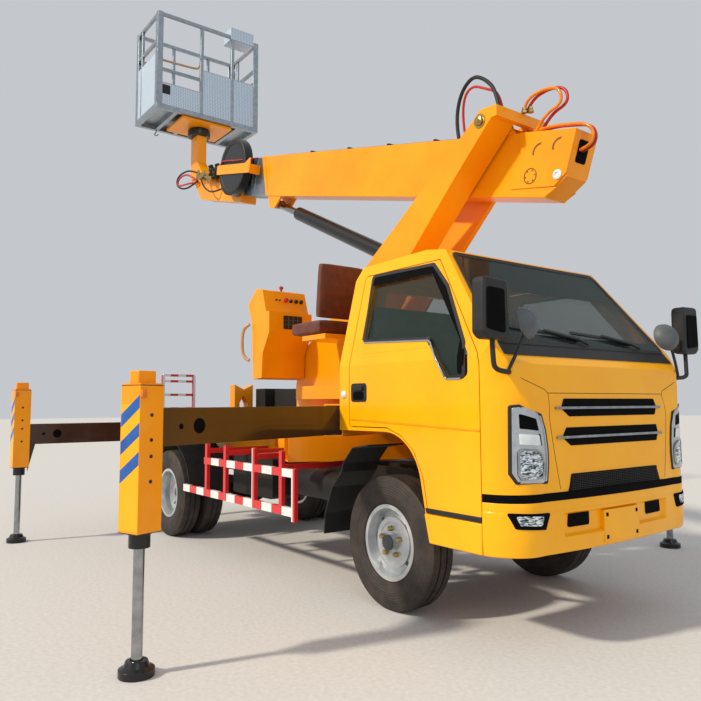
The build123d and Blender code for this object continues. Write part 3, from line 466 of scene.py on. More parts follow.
def piped(name, points, diameter, finish, body):
    """Round tube, hose or bar along a smooth line through the frame, in millimetres."""
    line = bpy.data.curves.new(name, "CURVE")
    line.dimensions = "3D"
    line.bevel_depth = diameter / 2000
    line.bevel_resolution = 3
    line.resolution_u = 10
    line.use_fill_caps = True
    spline = line.splines.new("NURBS")
    spline.points.add(len(points) - 1)
    for point, spot in zip(spline.points, points):
        point.co = (*place(*spot), 1)
    spline.order_u = 3
    spline.use_endpoint_u = True
    line.materials.append(finish)
    made = bpy.data.objects.new(name, line)
    bpy.context.scene.collection.objects.link(made)
    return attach(made, body)


def hose(name, points, diameter, finish, body):
    """A hydraulic hose that meets the machine at both ends."""
    made = piped(name, points, diameter, finish, body)


# Faces of the truck that pieces lie on
CAB_FRONT = [(640, 1040), (760, 1060), (1220, 1046), (1440, 1000), (1540, 925), (2128, 470)]
CAB_HALF = 865
WAIST = 1480
LEAN_IN = 165 / 685
NOSE_X, NOSE_FLAT_HALF, NOSE_RADIUS = 1080, 615, 5925.8
NOSE_CORNER = ((860, CAB_HALF), (985, 803), (1048, NOSE_FLAT_HALF))
SCREEN_FOOT = (925, 1540)
SCREEN_SLOPE = 455 / 588


def nose_at(y):
    """X of the nose's rounded plan: nearly flat in front, then an arc through three points of the corner."""
    y = abs(y)
    if y <= NOSE_FLAT_HALF:
        return NOSE_X - (NOSE_RADIUS - sqrt(NOSE_RADIUS ** 2 - y * y))
    (x0, y0), (x1, y1), (x2, y2) = NOSE_CORNER
    d = 2 * (x0 * (y1 - y2) + x1 * (y2 - y0) + x2 * (y0 - y1))
    s0, s1, s2 = x0 * x0 + y0 * y0, x1 * x1 + y1 * y1, x2 * x2 + y2 * y2
    cx = (s0 * (y1 - y2) + s1 * (y2 - y0) + s2 * (y0 - y1)) / d
    cy = (s0 * (x2 - x1) + s1 * (x0 - x2) + s2 * (x1 - x0)) / d
    r2 = (x0 - cx) ** 2 + (y0 - cy) ** 2
    return cx + sqrt(max(r2 - (y - cy) ** 2, 0))


def profile_at(z):
    """X of the cab's side profile."""
    for (z0, x0), (z1, x1) in zip(CAB_FRONT, CAB_FRONT[1:]):
        if z <= z1:
            return x0 + (x1 - x0) * (z - z0) / (z1 - z0)
    return CAB_FRONT[-1][1]


def front(y, z, lift):
    """On the cab's front."""
    return place(min(nose_at(y), profile_at(z)) + lift, y, z)


def flank(out):
    """On the cab's side, right for -1 and left for 1."""
    return lambda x, z, lift: place(x, out * (CAB_HALF - LEAN_IN * max(z - WAIST, 0) + lift), z)


def screen(y, z, lift):
    """On the plane of the windscreen."""
    x = SCREEN_FOOT[0] - (z - SCREEN_FOOT[1]) * SCREEN_SLOPE
    return place(x + lift * 0.791, y, z + lift * 0.612)


def facing(y, z, x):
    """On a plane square to the truck's length."""
    return place(x, y, z)


def sideways(x, z, y):
    """On an upright plane along the truck."""
    return place(x, y, z)


def above(x, y, z):
    """On a level plane."""
    return place(x, y, z)


def boom_side(s, n, y):
    """On the boom's side, along and square to it."""
    x, z = on_boom(s, n)
    return place(x, y, z)


# Front panel: slots with bright bars, panel joints, the low grille and the cowl
bm = bmesh.new()
clad(bm, [(-445, 738), (445, 738), (445, 842), (-445, 842)], front, -3, 0.8)
settle("front_panel_lower_part", bm, yellow_enamel, "chassis", 0.0)
# The slots and the low grille's opening are near-black: painted shade inside them.
bm = bmesh.new()
for z in (1215, 1064):
    slot = [(-425, z + 47), (-455, z + 8), (-455, z - 8), (-395, z - 47), (432, z - 47), (452, z),
            (440, z + 47)]
    clad(bm, rounded(slot, 8), front, -1, 3)
clad(bm, rounded([(-438, 780), (438, 780), (405, 872), (-405, 872)], 10), front, -1, 4)
settle("front_slots", bm, black_trim_and_painted_shade, "chassis", 0.0)
bm = bmesh.new()
for k in range(9):
    z = 792 + 9 * k
    half = 432 - 0.33 * (z - 780)
    strip(bm, [(-half, z), (half, z)], 2.5, front, 3, 7)
for k in range(-20, 21):
    strip(bm, [(k * 20 - 7, 786), (k * 20 + 7, 868)], 2.5, front, 3, 7)
settle("grille_bars", bm, black_plastic, "chassis", 0.0)
bm = bmesh.new()
for z in (1213, 1061):
    clad(bm, rounded([(-512, z - 7), (486, z - 7), (486, z + 7), (-512, z + 7)], 5), front, 1, 12)
settle("front_bright_bars", bm, hard_chrome, "chassis", 0.002)
bm = bmesh.new()
side_joint = [(795, 1385), (680, 1346), (570, 1310), (545, 1287), (560, 1160), (530, 960), (500, 800)]
for out in (-1, 1):
    strip(bm, [(out * y, z) for y, z in side_joint], 4, front, -1, 0.6)
strip(bm, [(-545, 1290), (545, 1290)], 4, front, -1, 0.6)
settle("front_panel_joints", bm, sealer_and_painted_shade, "chassis", 0.0)
bm = bmesh.new()
clad(bm, rounded([(-800, 1486), (800, 1486), (792, 1556), (-792, 1556)], 12), front, -2, 5)
settle("cowl_panel", bm, black_plastic, "chassis")

# Head lamps: black rim, silver back, dark upper cells, light bar and the ringed reflector
LAMP = [(602, 838), (820, 842), (850, 890), (845, 1224), (800, 1228), (640, 1180), (606, 1100), (590, 1010),
        (588, 930)]
RING = [(812, 884), (812, 1000), (790, 1012), (694, 1006), (650, 985), (626, 940), (628, 890), (652, 864),
        (796, 860)]
for side, out in (("left", 1), ("right", -1)):
    def on_lamp(y, z, lift):
        return front(out * (588 + (y - 588) * 0.83), z, lift + 2.5)

    bm = bmesh.new()
    clad(bm, [(out * 784, 826), (out * 856, 826), (out * 856, 1236), (out * 784, 1236)], front, -6, 1.2, 9)
    settle(f"lamp_side_panel_{side}", bm, yellow_enamel, "chassis", 0.0)
    bm = bmesh.new()
    band(bm, rounded(grown(LAMP, 4), 14), rounded(grown(LAMP, -9), 10), on_lamp, -20, 5)
    rim = settle(f"lamp_rim_{side}", bm, black_plastic, "chassis")
    bm = bmesh.new()
    clad(bm, rounded(grown(LAMP, -2), 12), on_lamp, 0.5, 1.5, 40)
    settle(f"lamp_back_{side}", bm, raw_aluminium, "chassis", 0.0)
    bm = bmesh.new()
    for cell in ([(668, 1100), (798, 1112), (800, 1186), (690, 1160)],
                 [(642, 1024), (655, 1080), (668, 1088), (660, 1030)]):
        clad(bm, rounded(cell, 6), on_lamp, 1.2, 3, 40)
    settle(f"lamp_cells_{side}", bm, black_trim_and_painted_shade, "chassis", 0.0)
    bm = bmesh.new()
    clad(bm, rounded([(655, 1026), (800, 1034), (802, 1086), (668, 1078)], 6), on_lamp, 1.2, 5, 40)
    settle(f"lamp_light_bar_{side}", bm, white_plastic, "chassis")
    bm = bmesh.new()
    clad(bm, rounded(RING, 12), on_lamp, 1.2, 3, 30)
    settle(f"lamp_reflector_{side}", bm, reflector, "chassis", 0.0)
    bm = bmesh.new()
    band(bm, rounded(grown(RING, 3), 12), rounded(grown(RING, -9), 8), on_lamp, 1, 9)
    settle(f"lamp_ring_{side}", bm, hard_chrome, "chassis")
    bm = bmesh.new()
    band(bm, rounded(grown(LAMP, -9), 10), rounded(grown(LAMP, -17), 8), on_lamp, 1, 7)
    settle(f"lamp_inner_rim_{side}", bm, raw_aluminium, "chassis")
    if out == 1:
        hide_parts("head_lamps")

# Bumper: painted shade in the gap over it, moulded shell round the nose, wings below the doors, openings, fog
# lamps, bare plate
half_ys = [CAB_HALF - 250 * (k / 12) ** 1.6 for k in range(13)]
half_ys += [560, 500, 486, 470, 400, 300, 200, 100, 0]
half_line = [NOSE_CORNER[0]] + [(nose_at(y), y) for y in half_ys[1:]]
other_half = [(x, -y) for x, y in reversed(half_line[:-1])]
nose_line = [(862, CAB_HALF)] + half_line + other_half + [(862, -CAB_HALF)]
nose_line = [nose_line[0]] + [p for a, p in zip(nose_line, nose_line[1:])
                              if hypot(p[0] - a[0], p[1] - a[1]) > 1.5]
bumper_form = [(480, -6), (486, -1), (548, 4), (560, 5), (572, 5), (668, 6), (680, 6), (694, 6), (700, 3),
               (738, 5), (745, 2)]


def round_nose(bm, heights, inner, line, sunken=False):
    """Closed form swept round the nose from (height, lift) pairs; sunken draws its middle in."""
    rows = []
    for i, (x, y) in enumerate(line):
        a, b = line[max(i - 1, 0)], line[min(i + 1, len(line) - 1)]
        along = Vector((b[0] - a[0], b[1] - a[1])).normalized()
        n = Vector((-along.y, along.x))
        n = -n if n.x < -0.001 or (abs(n.x) < 0.05 and n.y * y < 0) else n
        column = []
        for z, lift in heights:
            if sunken and abs(y) < 471 and 565 < z < 675:
                lift = -16
            column.append(bm.verts.new(place(x + n.x * lift, y + n.y * lift, z)))
        column.append(bm.verts.new(place(x - n.x * inner, y - n.y * inner, heights[-1][0])))
        column.append(bm.verts.new(place(x - n.x * inner, y - n.y * inner, heights[0][0])))
        rows.append(column)
    for first, second in zip(rows, rows[1:]):
        for i in range(len(first)):
            j = (i + 1) % len(first)
            bm.faces.new((first[i], second[i], second[j], first[j]))
    bm.faces.new(rows[0])
    bm.faces.new(rows[-1][::-1])


# Near-black strip in the gap between the cab's front and the bumper: painted shade.
bm = bmesh.new()
round_nose(bm, [(744, 2), (746, 3.5), (782, 3.5), (786, 2)], 4, nose_line)
settle("painted_shade_gap_over_bumper", bm, black_trim_and_painted_shade, "chassis", 0.0)
bm = bmesh.new()
round_nose(bm, bumper_form, 38, nose_line, True)
bumper = settle("bumper_shell", bm, yellow_enamel, "chassis", 0.0, 28)
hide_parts("front_bumper")
for side, out in (("left", 1), ("right", -1)):
    def below_door(x, z, w):
        return place(x, out * w, z)

    bm = bmesh.new()
    prism(bm, [(470, 480), (856, 480), (856, 638), (432, 638)], below_door, 838, 871)
    settle(f"bumper_wing_{side}", bm, yellow_enamel, "chassis", 0.008)
    bm = bmesh.new()
    prism(bm, [(455, 642), (856, 642), (856, 668), (445, 668)], below_door, 850, 874)
    settle(f"step_strip_{side}", bm, black_plastic, "chassis", 0.003)


def on_bumper(y, z, lift):
    """On the bumper's outer face."""
    return place(nose_at(min(abs(y), 860)) + lift, y, z)


# Near-black openings in the bumper: painted shade inside them.
bm = bmesh.new()
for out in (1, -1):
    clad(bm, rounded([(out * 822, 700), (out * 588, 690), (out * 622, 610), (out * 790, 622)], 10),
         on_bumper, -10, 9.5, 14)
    clad(bm, rounded([(out * 272, 602), (out * 442, 602), (out * 432, 676), (out * 272, 676)], 14),
         on_bumper, -18, -11)
settle("bumper_openings", bm, black_trim_and_painted_shade, "chassis", 0.0)
bm = bmesh.new()
for out in (1, -1):
    clad(bm, rounded([(out * 790, 686), (out * 640, 680), (out * 655, 632), (out * 772, 638)], 10),
         on_bumper, 9, 12.5, 14)
settle("fog_lamps", bm, reflector, "chassis", 0.0)
bm = bmesh.new()
clad(bm, rounded([(-168, 500), (168, 500), (168, 667), (-168, 667)], 8), on_bumper, -17, 6.5)
settle("bare_plate_panel", bm, yellow_enamel, "chassis")
bm = bmesh.new()
for y in (-140, 140):
    for z in (524, 642):
        clad(bm, [(y - 10, z - 10), (y + 10, z - 10), (y + 10, z + 10), (y - 10, z + 10)], on_bumper, 6, 7.6)
settle("plate_fixings", bm, black_trim_and_painted_shade, "chassis", 0.0)

# Windscreen: black border, painted shade on its header, outer glass, rubber seal, wipers
SCREEN = [(-790, 1556), (790, 1556), (668, 2100), (-668, 2100)]
bm = bmesh.new()
band(bm, rounded(grown(SCREEN, 4), 40), rounded([(-722, 1612), (722, 1612), (622, 2062), (-622, 2062)], 60),
     screen, 0.6, 1.4)
settle("screen_black_border", bm, black_trim_and_painted_shade, "chassis", 0.0)
# Near-black across the top of the screen: painted shade.
bm = bmesh.new()
prism(bm, [(-716, 1894), (716, 1894), (672, 2098), (-672, 2098)], screen, 0.2, 0.6)
settle("screen_shaded_header", bm, black_trim_and_painted_shade, "chassis", 0.0)
bm = bmesh.new()
prism(bm, rounded(grown(SCREEN, -2), 38), screen, 2, 5)
settle("screen_outer_glass", bm, cab_glass, "chassis", 0.0)
bm = bmesh.new()
band(bm, rounded(grown(SCREEN, 12), 46), rounded(grown(SCREEN, -12), 36), screen, -2, 8)
settle("screen_seal", bm, black_plastic, "chassis", 0.003)
bm = bmesh.new()
for y0, z0, y1, z1, foot in ((-640, 1640, -60, 1600, -30), (-90, 1636, 470, 1600, 500)):
    strip(bm, [(y0, z0), ((y0 + y1) / 2, (z0 + z1) / 2 + 4), (y1, z1)], 16, screen, 6, 16)
    strip(bm, [((y0 + y1) / 2, (z0 + z1) / 2 + 6), (foot - 60, 1590), (foot, 1562)], 14, screen, 16, 28)
settle("wipers", bm, black_plastic, "chassis", 0.002)

# Doors: window sheet, black frame and seal with a bright lower edge, handles, pressed line and side lamps
WINDOW = [(-150, 1630), (-178, 2064), (392, 2050), (540, 1900), (736, 1560), (752, 1376), (618, 1376),
          (448, 1600)]
for side, out in (("left", 1), ("right", -1)):
    body = f"{side}_door"
    bm = bmesh.new()
    clad(bm, rounded([(-184, 1550), (482, 1550), (452, 1612), (-150, 1640), (-184, 1640)], 6), flank(out),
         -3, 1.2, 40)
    settle(f"window_lower_sheet_{side}", bm, yellow_enamel, body, 0.0)
    bm = bmesh.new()
    clad(bm, [(-178, 2062), (-172, 1995), (392, 1995), (460, 1905), (700, 1582), (700, 1400), (748, 1380),
              (742, 1562), (538, 1906), (392, 2050)], flank(out), -2, 1, 50)
    settle(f"window_black_frame_{side}", bm, black_trim_and_painted_shade, body, 0.0)
    bm = bmesh.new()
    band(bm, rounded(grown(WINDOW, 10), 36), rounded(grown(WINDOW, -12), 24), flank(out), -2, 4)
    settle(f"window_seal_{side}", bm, black_plastic, body, 0.002)
    bm = bmesh.new()
    strip(bm, [(-140, 1622), (452, 1592), (474, 1578), (604, 1384), (622, 1370), (720, 1368)], 9,
          flank(out), 1, 7)
    settle(f"window_bright_edge_{side}", bm, raw_aluminium, body, 0.002)
    bm = bmesh.new()
    prism(bm, rounded([(-236, 1250), (-80, 1250), (-80, 1366), (-236, 1366)], 24), flank(out), -1, 5)
    settle(f"handle_surround_{side}", bm, black_plastic, body, 0.002)
    # The pocket's near-black is painted shade in the recess under the grip.
    bm = bmesh.new()
    prism(bm, rounded([(-212, 1262), (-104, 1262), (-104, 1312), (-212, 1312)], 16), flank(out), 4, 5.6)
    settle(f"handle_pocket_{side}", bm, black_trim_and_painted_shade, body, 0.0)
    bm = bmesh.new()
    prism(bm, rounded([(-204, 1318), (-112, 1318), (-112, 1352), (-204, 1352)], 12), flank(out), 4, 16)
    settle(f"handle_grip_{side}", bm, black_plastic, body, 0.004)
    # The pressed line's raised strip is in the enamel with painted shade along the crease.
    bm = bmesh.new()
    strip(bm, [(-248, 1141), (846, 1100)], 12, flank(out), -1, 3.5)
    settle(f"door_pressed_line_{side}", bm, yellow_enamel_painted_shade, body, 0.003)
    bm = bmesh.new()
    turned(bm, [(0, -2), (24, -2), (24, 6), (16, 14), (0, 17)], (-316, out * CAB_HALF, 1298), (0, out, 0))
    settle(f"side_lamp_{side}", bm, white_plastic, "chassis", 0.0)

# Mirrors: tall housing and round wide-angle glass on one bent arm at each front corner
for side, out in (("left", 1), ("right", -1)):
    bm = bmesh.new()
    prism(bm, rounded([(out * 833, 1552), (out * 838, 1852), (out * 1020, 1858), (out * 1027, 1580),
                       (out * 992, 1550)], 34), facing, 956, 1040)
    shell = settle(f"mirror_housing_{side}", bm, black_plastic, "chassis", 0.016)
    bm = bmesh.new()
    prism(bm, rounded([(out * 872, 1580), (out * 876, 1800), (out * 1000, 1804), (out * 1006, 1600)], 18),
          facing, 1038, 1046)
    settle(f"mirror_panel_{side}", bm, black_trim_and_painted_shade, "chassis", 0.004)
    bm = bmesh.new()
    prism(bm, rounded([(out * 848, 1566), (out * 852, 1840), (out * 1008, 1844), (out * 1014, 1584)], 24),
          facing, 953, 957)
    settle(f"mirror_glass_{side}", bm, hard_chrome, "chassis", 0.001)
    bm = bmesh.new()
    turned(bm, [(0, 44), (34, 40), (62, 24), (82, 0), (88, -22), (84, -28), (0, -28)],
           (1022, out * 672, 1652), (0.9, -out * 0.3, 0.25))
    settle(f"mirror_cup_{side}", bm, grey_plastic, "chassis", 0.002)
    arm = [(975, out * 770, 1395), (1000, out * 800, 1392), (1006, out * 912, 1402), (1000, out * 922, 1450),
           (998, out * 922, 1570)]
    piped(f"mirror_arm_{side}", arm, 26, black_plastic, "chassis")
    cup_arm = [(1000, out * 815, 1398), (1020, out * 760, 1490), (1020, out * 690, 1620)]
    piped(f"mirror_cup_arm_{side}", cup_arm, 18, black_plastic, "chassis")
    if out == 1:
        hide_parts("mirrors")

# Wheels: nuts in yellow zinc and grey hub caps
for name, x, face, out in (("front_right", 0, 730, -1), ("front_left", 0, 730, 1),
                           ("rear_right", -WHEELBASE, 727, -1), ("rear_left", -WHEELBASE, 727, 1)):
    body = f"{name}_wheel" if x == 0 else f"{name}_wheels"
    bm = bmesh.new()
    for k in range(5):
        a = radians(90 + 72 * k)
        turned(bm, [(0, 40), (9, 40), (15, 34), (17, 12), (19, 6), (19, 4), (0, 4)],
               (x + 82 * cos(a), out * face, AXLE_HEIGHT + 82 * sin(a)), (0, out, 0), 6)
    settle(f"wheel_nuts_{name}", bm, zinc_plate, body, 0.001)
    bm = bmesh.new()
    reach = 50 if x == 0 else 106
    turned(bm, [(0, reach + 18), (22, reach + 14), (40, reach + 4), (47, reach - 6), (47, reach - 14),
                (0, reach - 14)], (x, out * face, AXLE_HEIGHT), (0, out, 0))
    settle(f"hub_cap_{name}", bm, grey_plastic, body, 0.001)

# Outriggers: legs in the yellow enamel with painted shade, their outer face in plain yellow with blue bands,
# dark fittings and painted shade in the holes in the beams
LEG_HALF = 68.6
BEAM_HALF_HEIGHT = 92
# Name, side, X on the centre line, splay in degrees, reach across, leg's low end and height, beam's low edge
LEGS = [("front_right", -1, -748, 19.2, 2325, 645, 686, 1039),
        ("front_left", 1, -748, 19.2, 2325, 645, 686, 837),
        ("rear_right", -1, -3642, 0, 2130, 669, 706, 878), ("rear_left", 1, -3882, 0, 2130, 669, 706, 878)]
for name, out, x, splay, reach, low, height, beam in LEGS:
    turn = radians(splay)
    away = Vector((sin(turn), out * cos(turn)))
    forward = Vector((cos(turn), -out * sin(turn)))
    leg = reach / cos(turn)

    def on_leg(u, v, z):
        """u outwards along the beam from the leg's middle, v forwards."""
        spot = away * (leg + u) + forward * v
        return place(x + spot.x, spot.y, z)

    body, top = f"{name}_beam", low + height
    # The leg's skin is in the enamel with painted shade; only its outer face below keeps the plain yellow.
    bm = bmesh.new()
    square = [(-LEG_HALF, -LEG_HALF), (LEG_HALF, -LEG_HALF), (LEG_HALF, LEG_HALF), (-LEG_HALF, LEG_HALF)]
    band(bm, square, grown(square, -2.6), on_leg, low + 4, top - 4)
    prism(bm, grown(square, -4), on_leg, top - 4, top + 8)
    settle(f"leg_skin_{name}", bm, yellow_enamel_painted_shade, body, 0.0003)
    bm = bmesh.new()
    prism(bm, [(-52, -34), (52, -34), (52, 34), (-52, 34)], on_leg, top + 4, top + 68)
    settle(f"leg_bracket_{name}", bm, yellow_enamel_painted_shade, body, 0.006)
    bm = bmesh.new()
    prism(bm, rounded([(40, 60), (68, 60), (68, 84), (40, 84)], 3), on_leg, top - 60, top - 22)
    settle(f"leg_lamp_{name}", bm, lamp_amber, body, 0.004)

    def outer_face(v, z, lift):
        return on_leg(LEG_HALF + lift, v, z)

    bm = bmesh.new()
    prism(bm, [(-66, low + 12), (66, low + 12), (66, top - 90), (-66, top - 90)], outer_face, -1, 0.25)
    settle(f"leg_yellow_face_{name}", bm, yellow_enamel, body, 0.001)
    bm = bmesh.new()
    for z in (low + 225, low + 357, low + 486):
        prism(bm, [(-66, z), (66, z + 92), (66, z + 92 + 62), (-66, z + 62)], outer_face, 0, 0.5)
    settle(f"leg_blue_bands_{name}", bm, blue_tape, body, 0.0)
    bm = bmesh.new()
    for z in (low + 545, low + 429, low + 353, low + 237):
        middle = on_leg(0, LEG_HALF, z)
        spot = ((middle.x - FRONT_AXLE) * 1000, middle.y * 1000, z)
        turned(bm, [(0, 2), (9, 2), (9, -2), (0, -2)], spot, (forward.x, forward.y, 0), 16)
    settle(f"leg_fixings_{name}", bm, black_enamel, body, 0.0)
    bm = bmesh.new()
    middle = on_leg(0, 0, 0)
    centre = ((middle.x - FRONT_AXLE) * 1000, middle.y * 1000, 0)
    turned(bm, [(43, low - 69), (50, low - 69), (50, low - 8), (58, low - 6), (58, low + 3), (43, low + 3)],
           centre, (0, 0, 1))
    settle(f"leg_collar_{name}", bm, black_enamel, body, 0.001)
    bm = bmesh.new()
    turned(bm, [(30, 66), (44, 66), (52, 40), (78, 32), (78, 1), (83, 1), (83, 34), (60, 46), (50, 70),
                (30, 74)], centre, (0, 0, 1))
    settle(f"foot_rim_{name}", bm, black_enamel, f"{name}_jack", 0.001)
    # Near-black discs on the beam: painted shade in its holes.
    bm = bmesh.new()
    for inward, r in ((-307, 39), (-187, 14)):
        middle = on_leg(inward, 63, 0)
        spot = ((middle.x - FRONT_AXLE) * 1000, middle.y * 1000, beam + BEAM_HALF_HEIGHT)
        turned(bm, [(0, 0.4), (r - 6, 0.4), (r - 6, 0.9), (r, 0.9), (r, -1), (0, -1)], spot,
               (forward.x, forward.y, 0))
    settle(f"beam_hole_shade_{name}", bm, black_trim_and_painted_shade, body, 0.0)

# Basket: square tube frame with wide corner angles, mesh panels, tray, rotator plate and slewing ring
BACK, FRONT, HALF, LOW, TOP = -5020, -4300, 672, 4712, 5902


def bar_box(bm, x, y, z):
    """A square bar between three pairs of limits."""
    prism(bm, [(x[0], y[0]), (x[1], y[0]), (x[1], y[1]), (x[0], y[1])], above, z[0], z[1])


bm = bmesh.new()
for edge, inwards in ((BACK, 1), (FRONT, -1)):
    for out in (1, -1):
        bar_box(bm, sorted((edge, edge + 6 * inwards)), sorted((out * HALF, out * (HALF - 70))),
                (LOW + 60, TOP))
        bar_box(bm, sorted((edge, edge + 70 * inwards)), sorted((out * HALF, out * (HALF - 6))),
                (LOW + 60, TOP))
for z in (TOP, 5572):
    for out in (1, -1):
        bar_box(bm, (BACK + 8, FRONT - 8), sorted((out * (HALF - 7), out * (HALF - 40))), (z - 41, z - 1))
    bar_box(bm, (BACK + 7, BACK + 40), (-HALF + 8, HALF - 8), (z - 41, z - 1))
    if z == TOP:
        bar_box(bm, (FRONT - 40, FRONT - 7), (-HALF + 8, HALF - 8), (z - 41, z - 1))
for y in (-104, 310):
    bar_box(bm, (FRONT - 34, FRONT - 1), (y - 20, y + 20), (LOW + 61, TOP - 42))
for y in (-190, 290):
    bar_box(bm, (BACK + 2, BACK + 34), (y - 18, y + 18), (LOW + 61, TOP - 42))
for out in (1, -1):
    bar_box(bm, (BACK + 162, BACK + 196), sorted((out * (HALF - 2), out * (HALF - 34))),
            (LOW + 61, TOP - 42))
for out in (1, -1):
    bar_box(bm, (BACK + 8, FRONT - 8), sorted((out * (HALF - 9), out * (HALF - 30))), (5392, 5412))
bar_box(bm, (FRONT - 30, FRONT - 9), (-84, HALF - 8), (5312, 5332))
bar_box(bm, (FRONT - 30, FRONT - 9), (-HALF + 8, -124), (5022, 5042))
cage = settle("basket_frame", bm, galvanised, "basket_body", 0.003)
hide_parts("basket")
bm = bmesh.new()
bar_box(bm, (FRONT - 8, FRONT - 4), (-84, HALF - 6), (LOW + 60, 5320))
bar_box(bm, (FRONT - 8, FRONT - 4), (-HALF + 6, -124), (LOW + 60, 5030))
for out in (1, -1):
    bar_box(bm, (BACK + 8, FRONT - 8), sorted((out * (HALF - 4), out * (HALF - 8))), (LOW + 60, 5400))
bar_box(bm, (BACK + 4, BACK + 8), (-HALF + 8, HALF - 8), (LOW + 60, 5120))
settle("basket_panels", bm, mesh_sheet, "basket_body", 0.0)
bm = bmesh.new()
bar_box(bm, (BACK + 30, FRONT - 30), (-HALF + 30, HALF - 30), (LOW + 56, LOW + 61))
for out in (1, -1):
    bar_box(bm, (BACK, FRONT), sorted((out * HALF, out * (HALF - 50))), (LOW, LOW + 60))
for x in (BACK, FRONT - 50):
    bar_box(bm, (x, x + 50), (-HALF + 50, HALF - 50), (LOW, LOW + 60))
for y in (-410, -170, 170, 410):
    bar_box(bm, (BACK + 50, FRONT - 50), (y - 25, y + 25), (LOW, LOW + 56))
settle("basket_floor", bm, galvanised, "basket_body", 0.003)
bm = bmesh.new()
bar_box(bm, (FRONT - 205, FRONT), (280, 601), (TOP - 60, TOP - 54))
for y in (280, 597):
    bar_box(bm, (FRONT - 205, FRONT), (y, y + 4), (TOP - 58, TOP + 105))
for x in (FRONT - 205, FRONT - 4):
    bar_box(bm, (x, x + 4), (284, 597), (TOP - 58, TOP + 105))
settle("basket_tray", bm, mesh_sheet, "basket_body", 0.0)
grab_bar = [(FRONT - 50, -649, 5328), (FRONT - 70, -400, 5342), (FRONT - 70, -175, 5352),
            (FRONT - 66, -118, 5362), (FRONT - 50, -110, 5435)]
piped("basket_grab_bar", grab_bar, 26, tan_plastic, "basket_body")
bm = bmesh.new()
bare_plate = [(-637, 4900), (-504, 4900), (-504, 5010), (-637, 5010)]
prism(bm, rounded(bare_plate, 6), facing, FRONT - 4, FRONT - 1)
settle("basket_bare_plate", bm, black_enamel, "basket_body", 0.0)
bm = bmesh.new()
plate = rounded([(-4860, -330), (-4340, -330), (-4340, 330), (-4860, 330)], 30)
prism(bm, plate, above, 4680, 4711)
settle("rotator_plate", bm, yellow_enamel_painted_shade, "basket_body", 0.004)
bm = bmesh.new()
turned(bm, [(0, 4584), (132, 4584), (138, 4600), (138, 4660), (120, 4668), (120, 4684), (0, 4684)],
       (-4600, 0, 0), (0, 0, 1), 40)
settle("rotator_ring", bm, black_enamel, "basket_body", 0.002)
piped("basket_hook", [(-4990, -410, 4712), (-4990, -410, 4680), (-4990, -440, 4650), (-4990, -400, 4640),
                      (-4990, -380, 4668)], 14, galvanised, "basket_body")

# Tip: strap in front of the drum, the drum's rims and hub, valve blocks, couplings and hoses
DRUM = (-3259, 0, 3784)
bm = bmesh.new()
strap = [(3300, -60), (3300, -222), (4080, -232), (4080, -128), (3420, -122)]
prism(bm, rounded(strap, 18), boom_side, -224, -212)
for s in (3306, 4040):
    prism(bm, [(s, -226), (s + 12, -226), (s + 12, -130), (s, -130)], boom_side, -212, -92)
settle("drum_strap", bm, yellow_enamel_painted_shade, "telescope_5", 0.003)
bm = bmesh.new()
for radius, near, far in ((303, -207, -199), (303, -124, -117)):
    turned(bm, [(radius - 60, -near), (radius - 52, -near + 5), (radius - 6, -near + 3), (radius, -near),
                (radius, -far), (radius - 60, -far)], DRUM, (0, -1, 0), 48)
turned(bm, [(0, 211), (60, 211), (66, 206), (0, 206)], DRUM, (0, -1, 0), 40)
settle("drum_rims", bm, black_plastic, "telescope_5", 0.001)
bm = bmesh.new()
valves = [(4330, -262, 40, 30), (4420, -230, 34, 36), (4510, -248, 42, 26), (4610, -216, 36, 34),
          (4700, -236, 30, 28), (4790, -206, 34, 30)]
for k, (s, n, half, high) in enumerate(valves):
    block = [(s - half, n - high), (s + half, n - high), (s + half, n + high), (s - half, n + high)]
    prism(bm, rounded(block, 6), boom_side, -190 + 8 * k, -90)
    x, z = on_boom(s, n + high)
    stub = [(0, 0), (14, 0), (14, 22), (10, 26), (10, 40), (0, 40)]
    turned(bm, stub, (x, -140, z - 4), BOOM_UP, 12)
settle("tip_valve_blocks", bm, zinc_plate, "telescope_5", 0.004)
bm = bmesh.new()
for s, n in ((4200, -150), (4260, -196), (4130, -176), (4370, -160)):
    x, z = on_boom(s, n)
    turned(bm, [(0, -60), (34, -60), (40, -50), (40, 20), (30, 34), (30, 60), (18, 66), (0, 66)],
           (x, -150, z), (0.2, -0.5, 0.8), 20)
settle("tip_couplings", bm, black_enamel, "telescope_5", 0.002)
hose("tip_hose_upper", [(-4312, -78, 4016), (-4420, -165, 4080), (-4640, -170, 4120), (-4860, -165, 4110),
                        (-4900, -160, 4010), (-4720, -150, 3920), (-4500, -140, 3900), (-4330, -130, 3930)],
     22, black_plastic, "telescope_5")
hose("tip_hose_lower", [(-4338, -118, 3930), (-4420, -190, 4020), (-4620, -190, 4070), (-4790, -188, 4050),
                        (-4800, -184, 3980), (-4660, -180, 3950), (-4470, -172, 3930), (-4342, -118, 3922)],
     22, red_hose, "telescope_5")
hose("tip_hose_middle", [(-4100, -104, 3950), (-4060, -210, 3880), (-3960, -225, 3760), (-3880, -215, 3690),
                         (-3800, -180, 3640), (-3720, -104, 3680)], 20, black_plastic, "telescope_5")
hose("drum_red_hose", [(-3540, -206, 3880), (-3480, -232, 3905), (-3300, -238, 3860), (-3080, -232, 3800),
                       (-2960, -180, 3790), (-2900, -96, 3800)], 12, red_hose, "telescope_5")

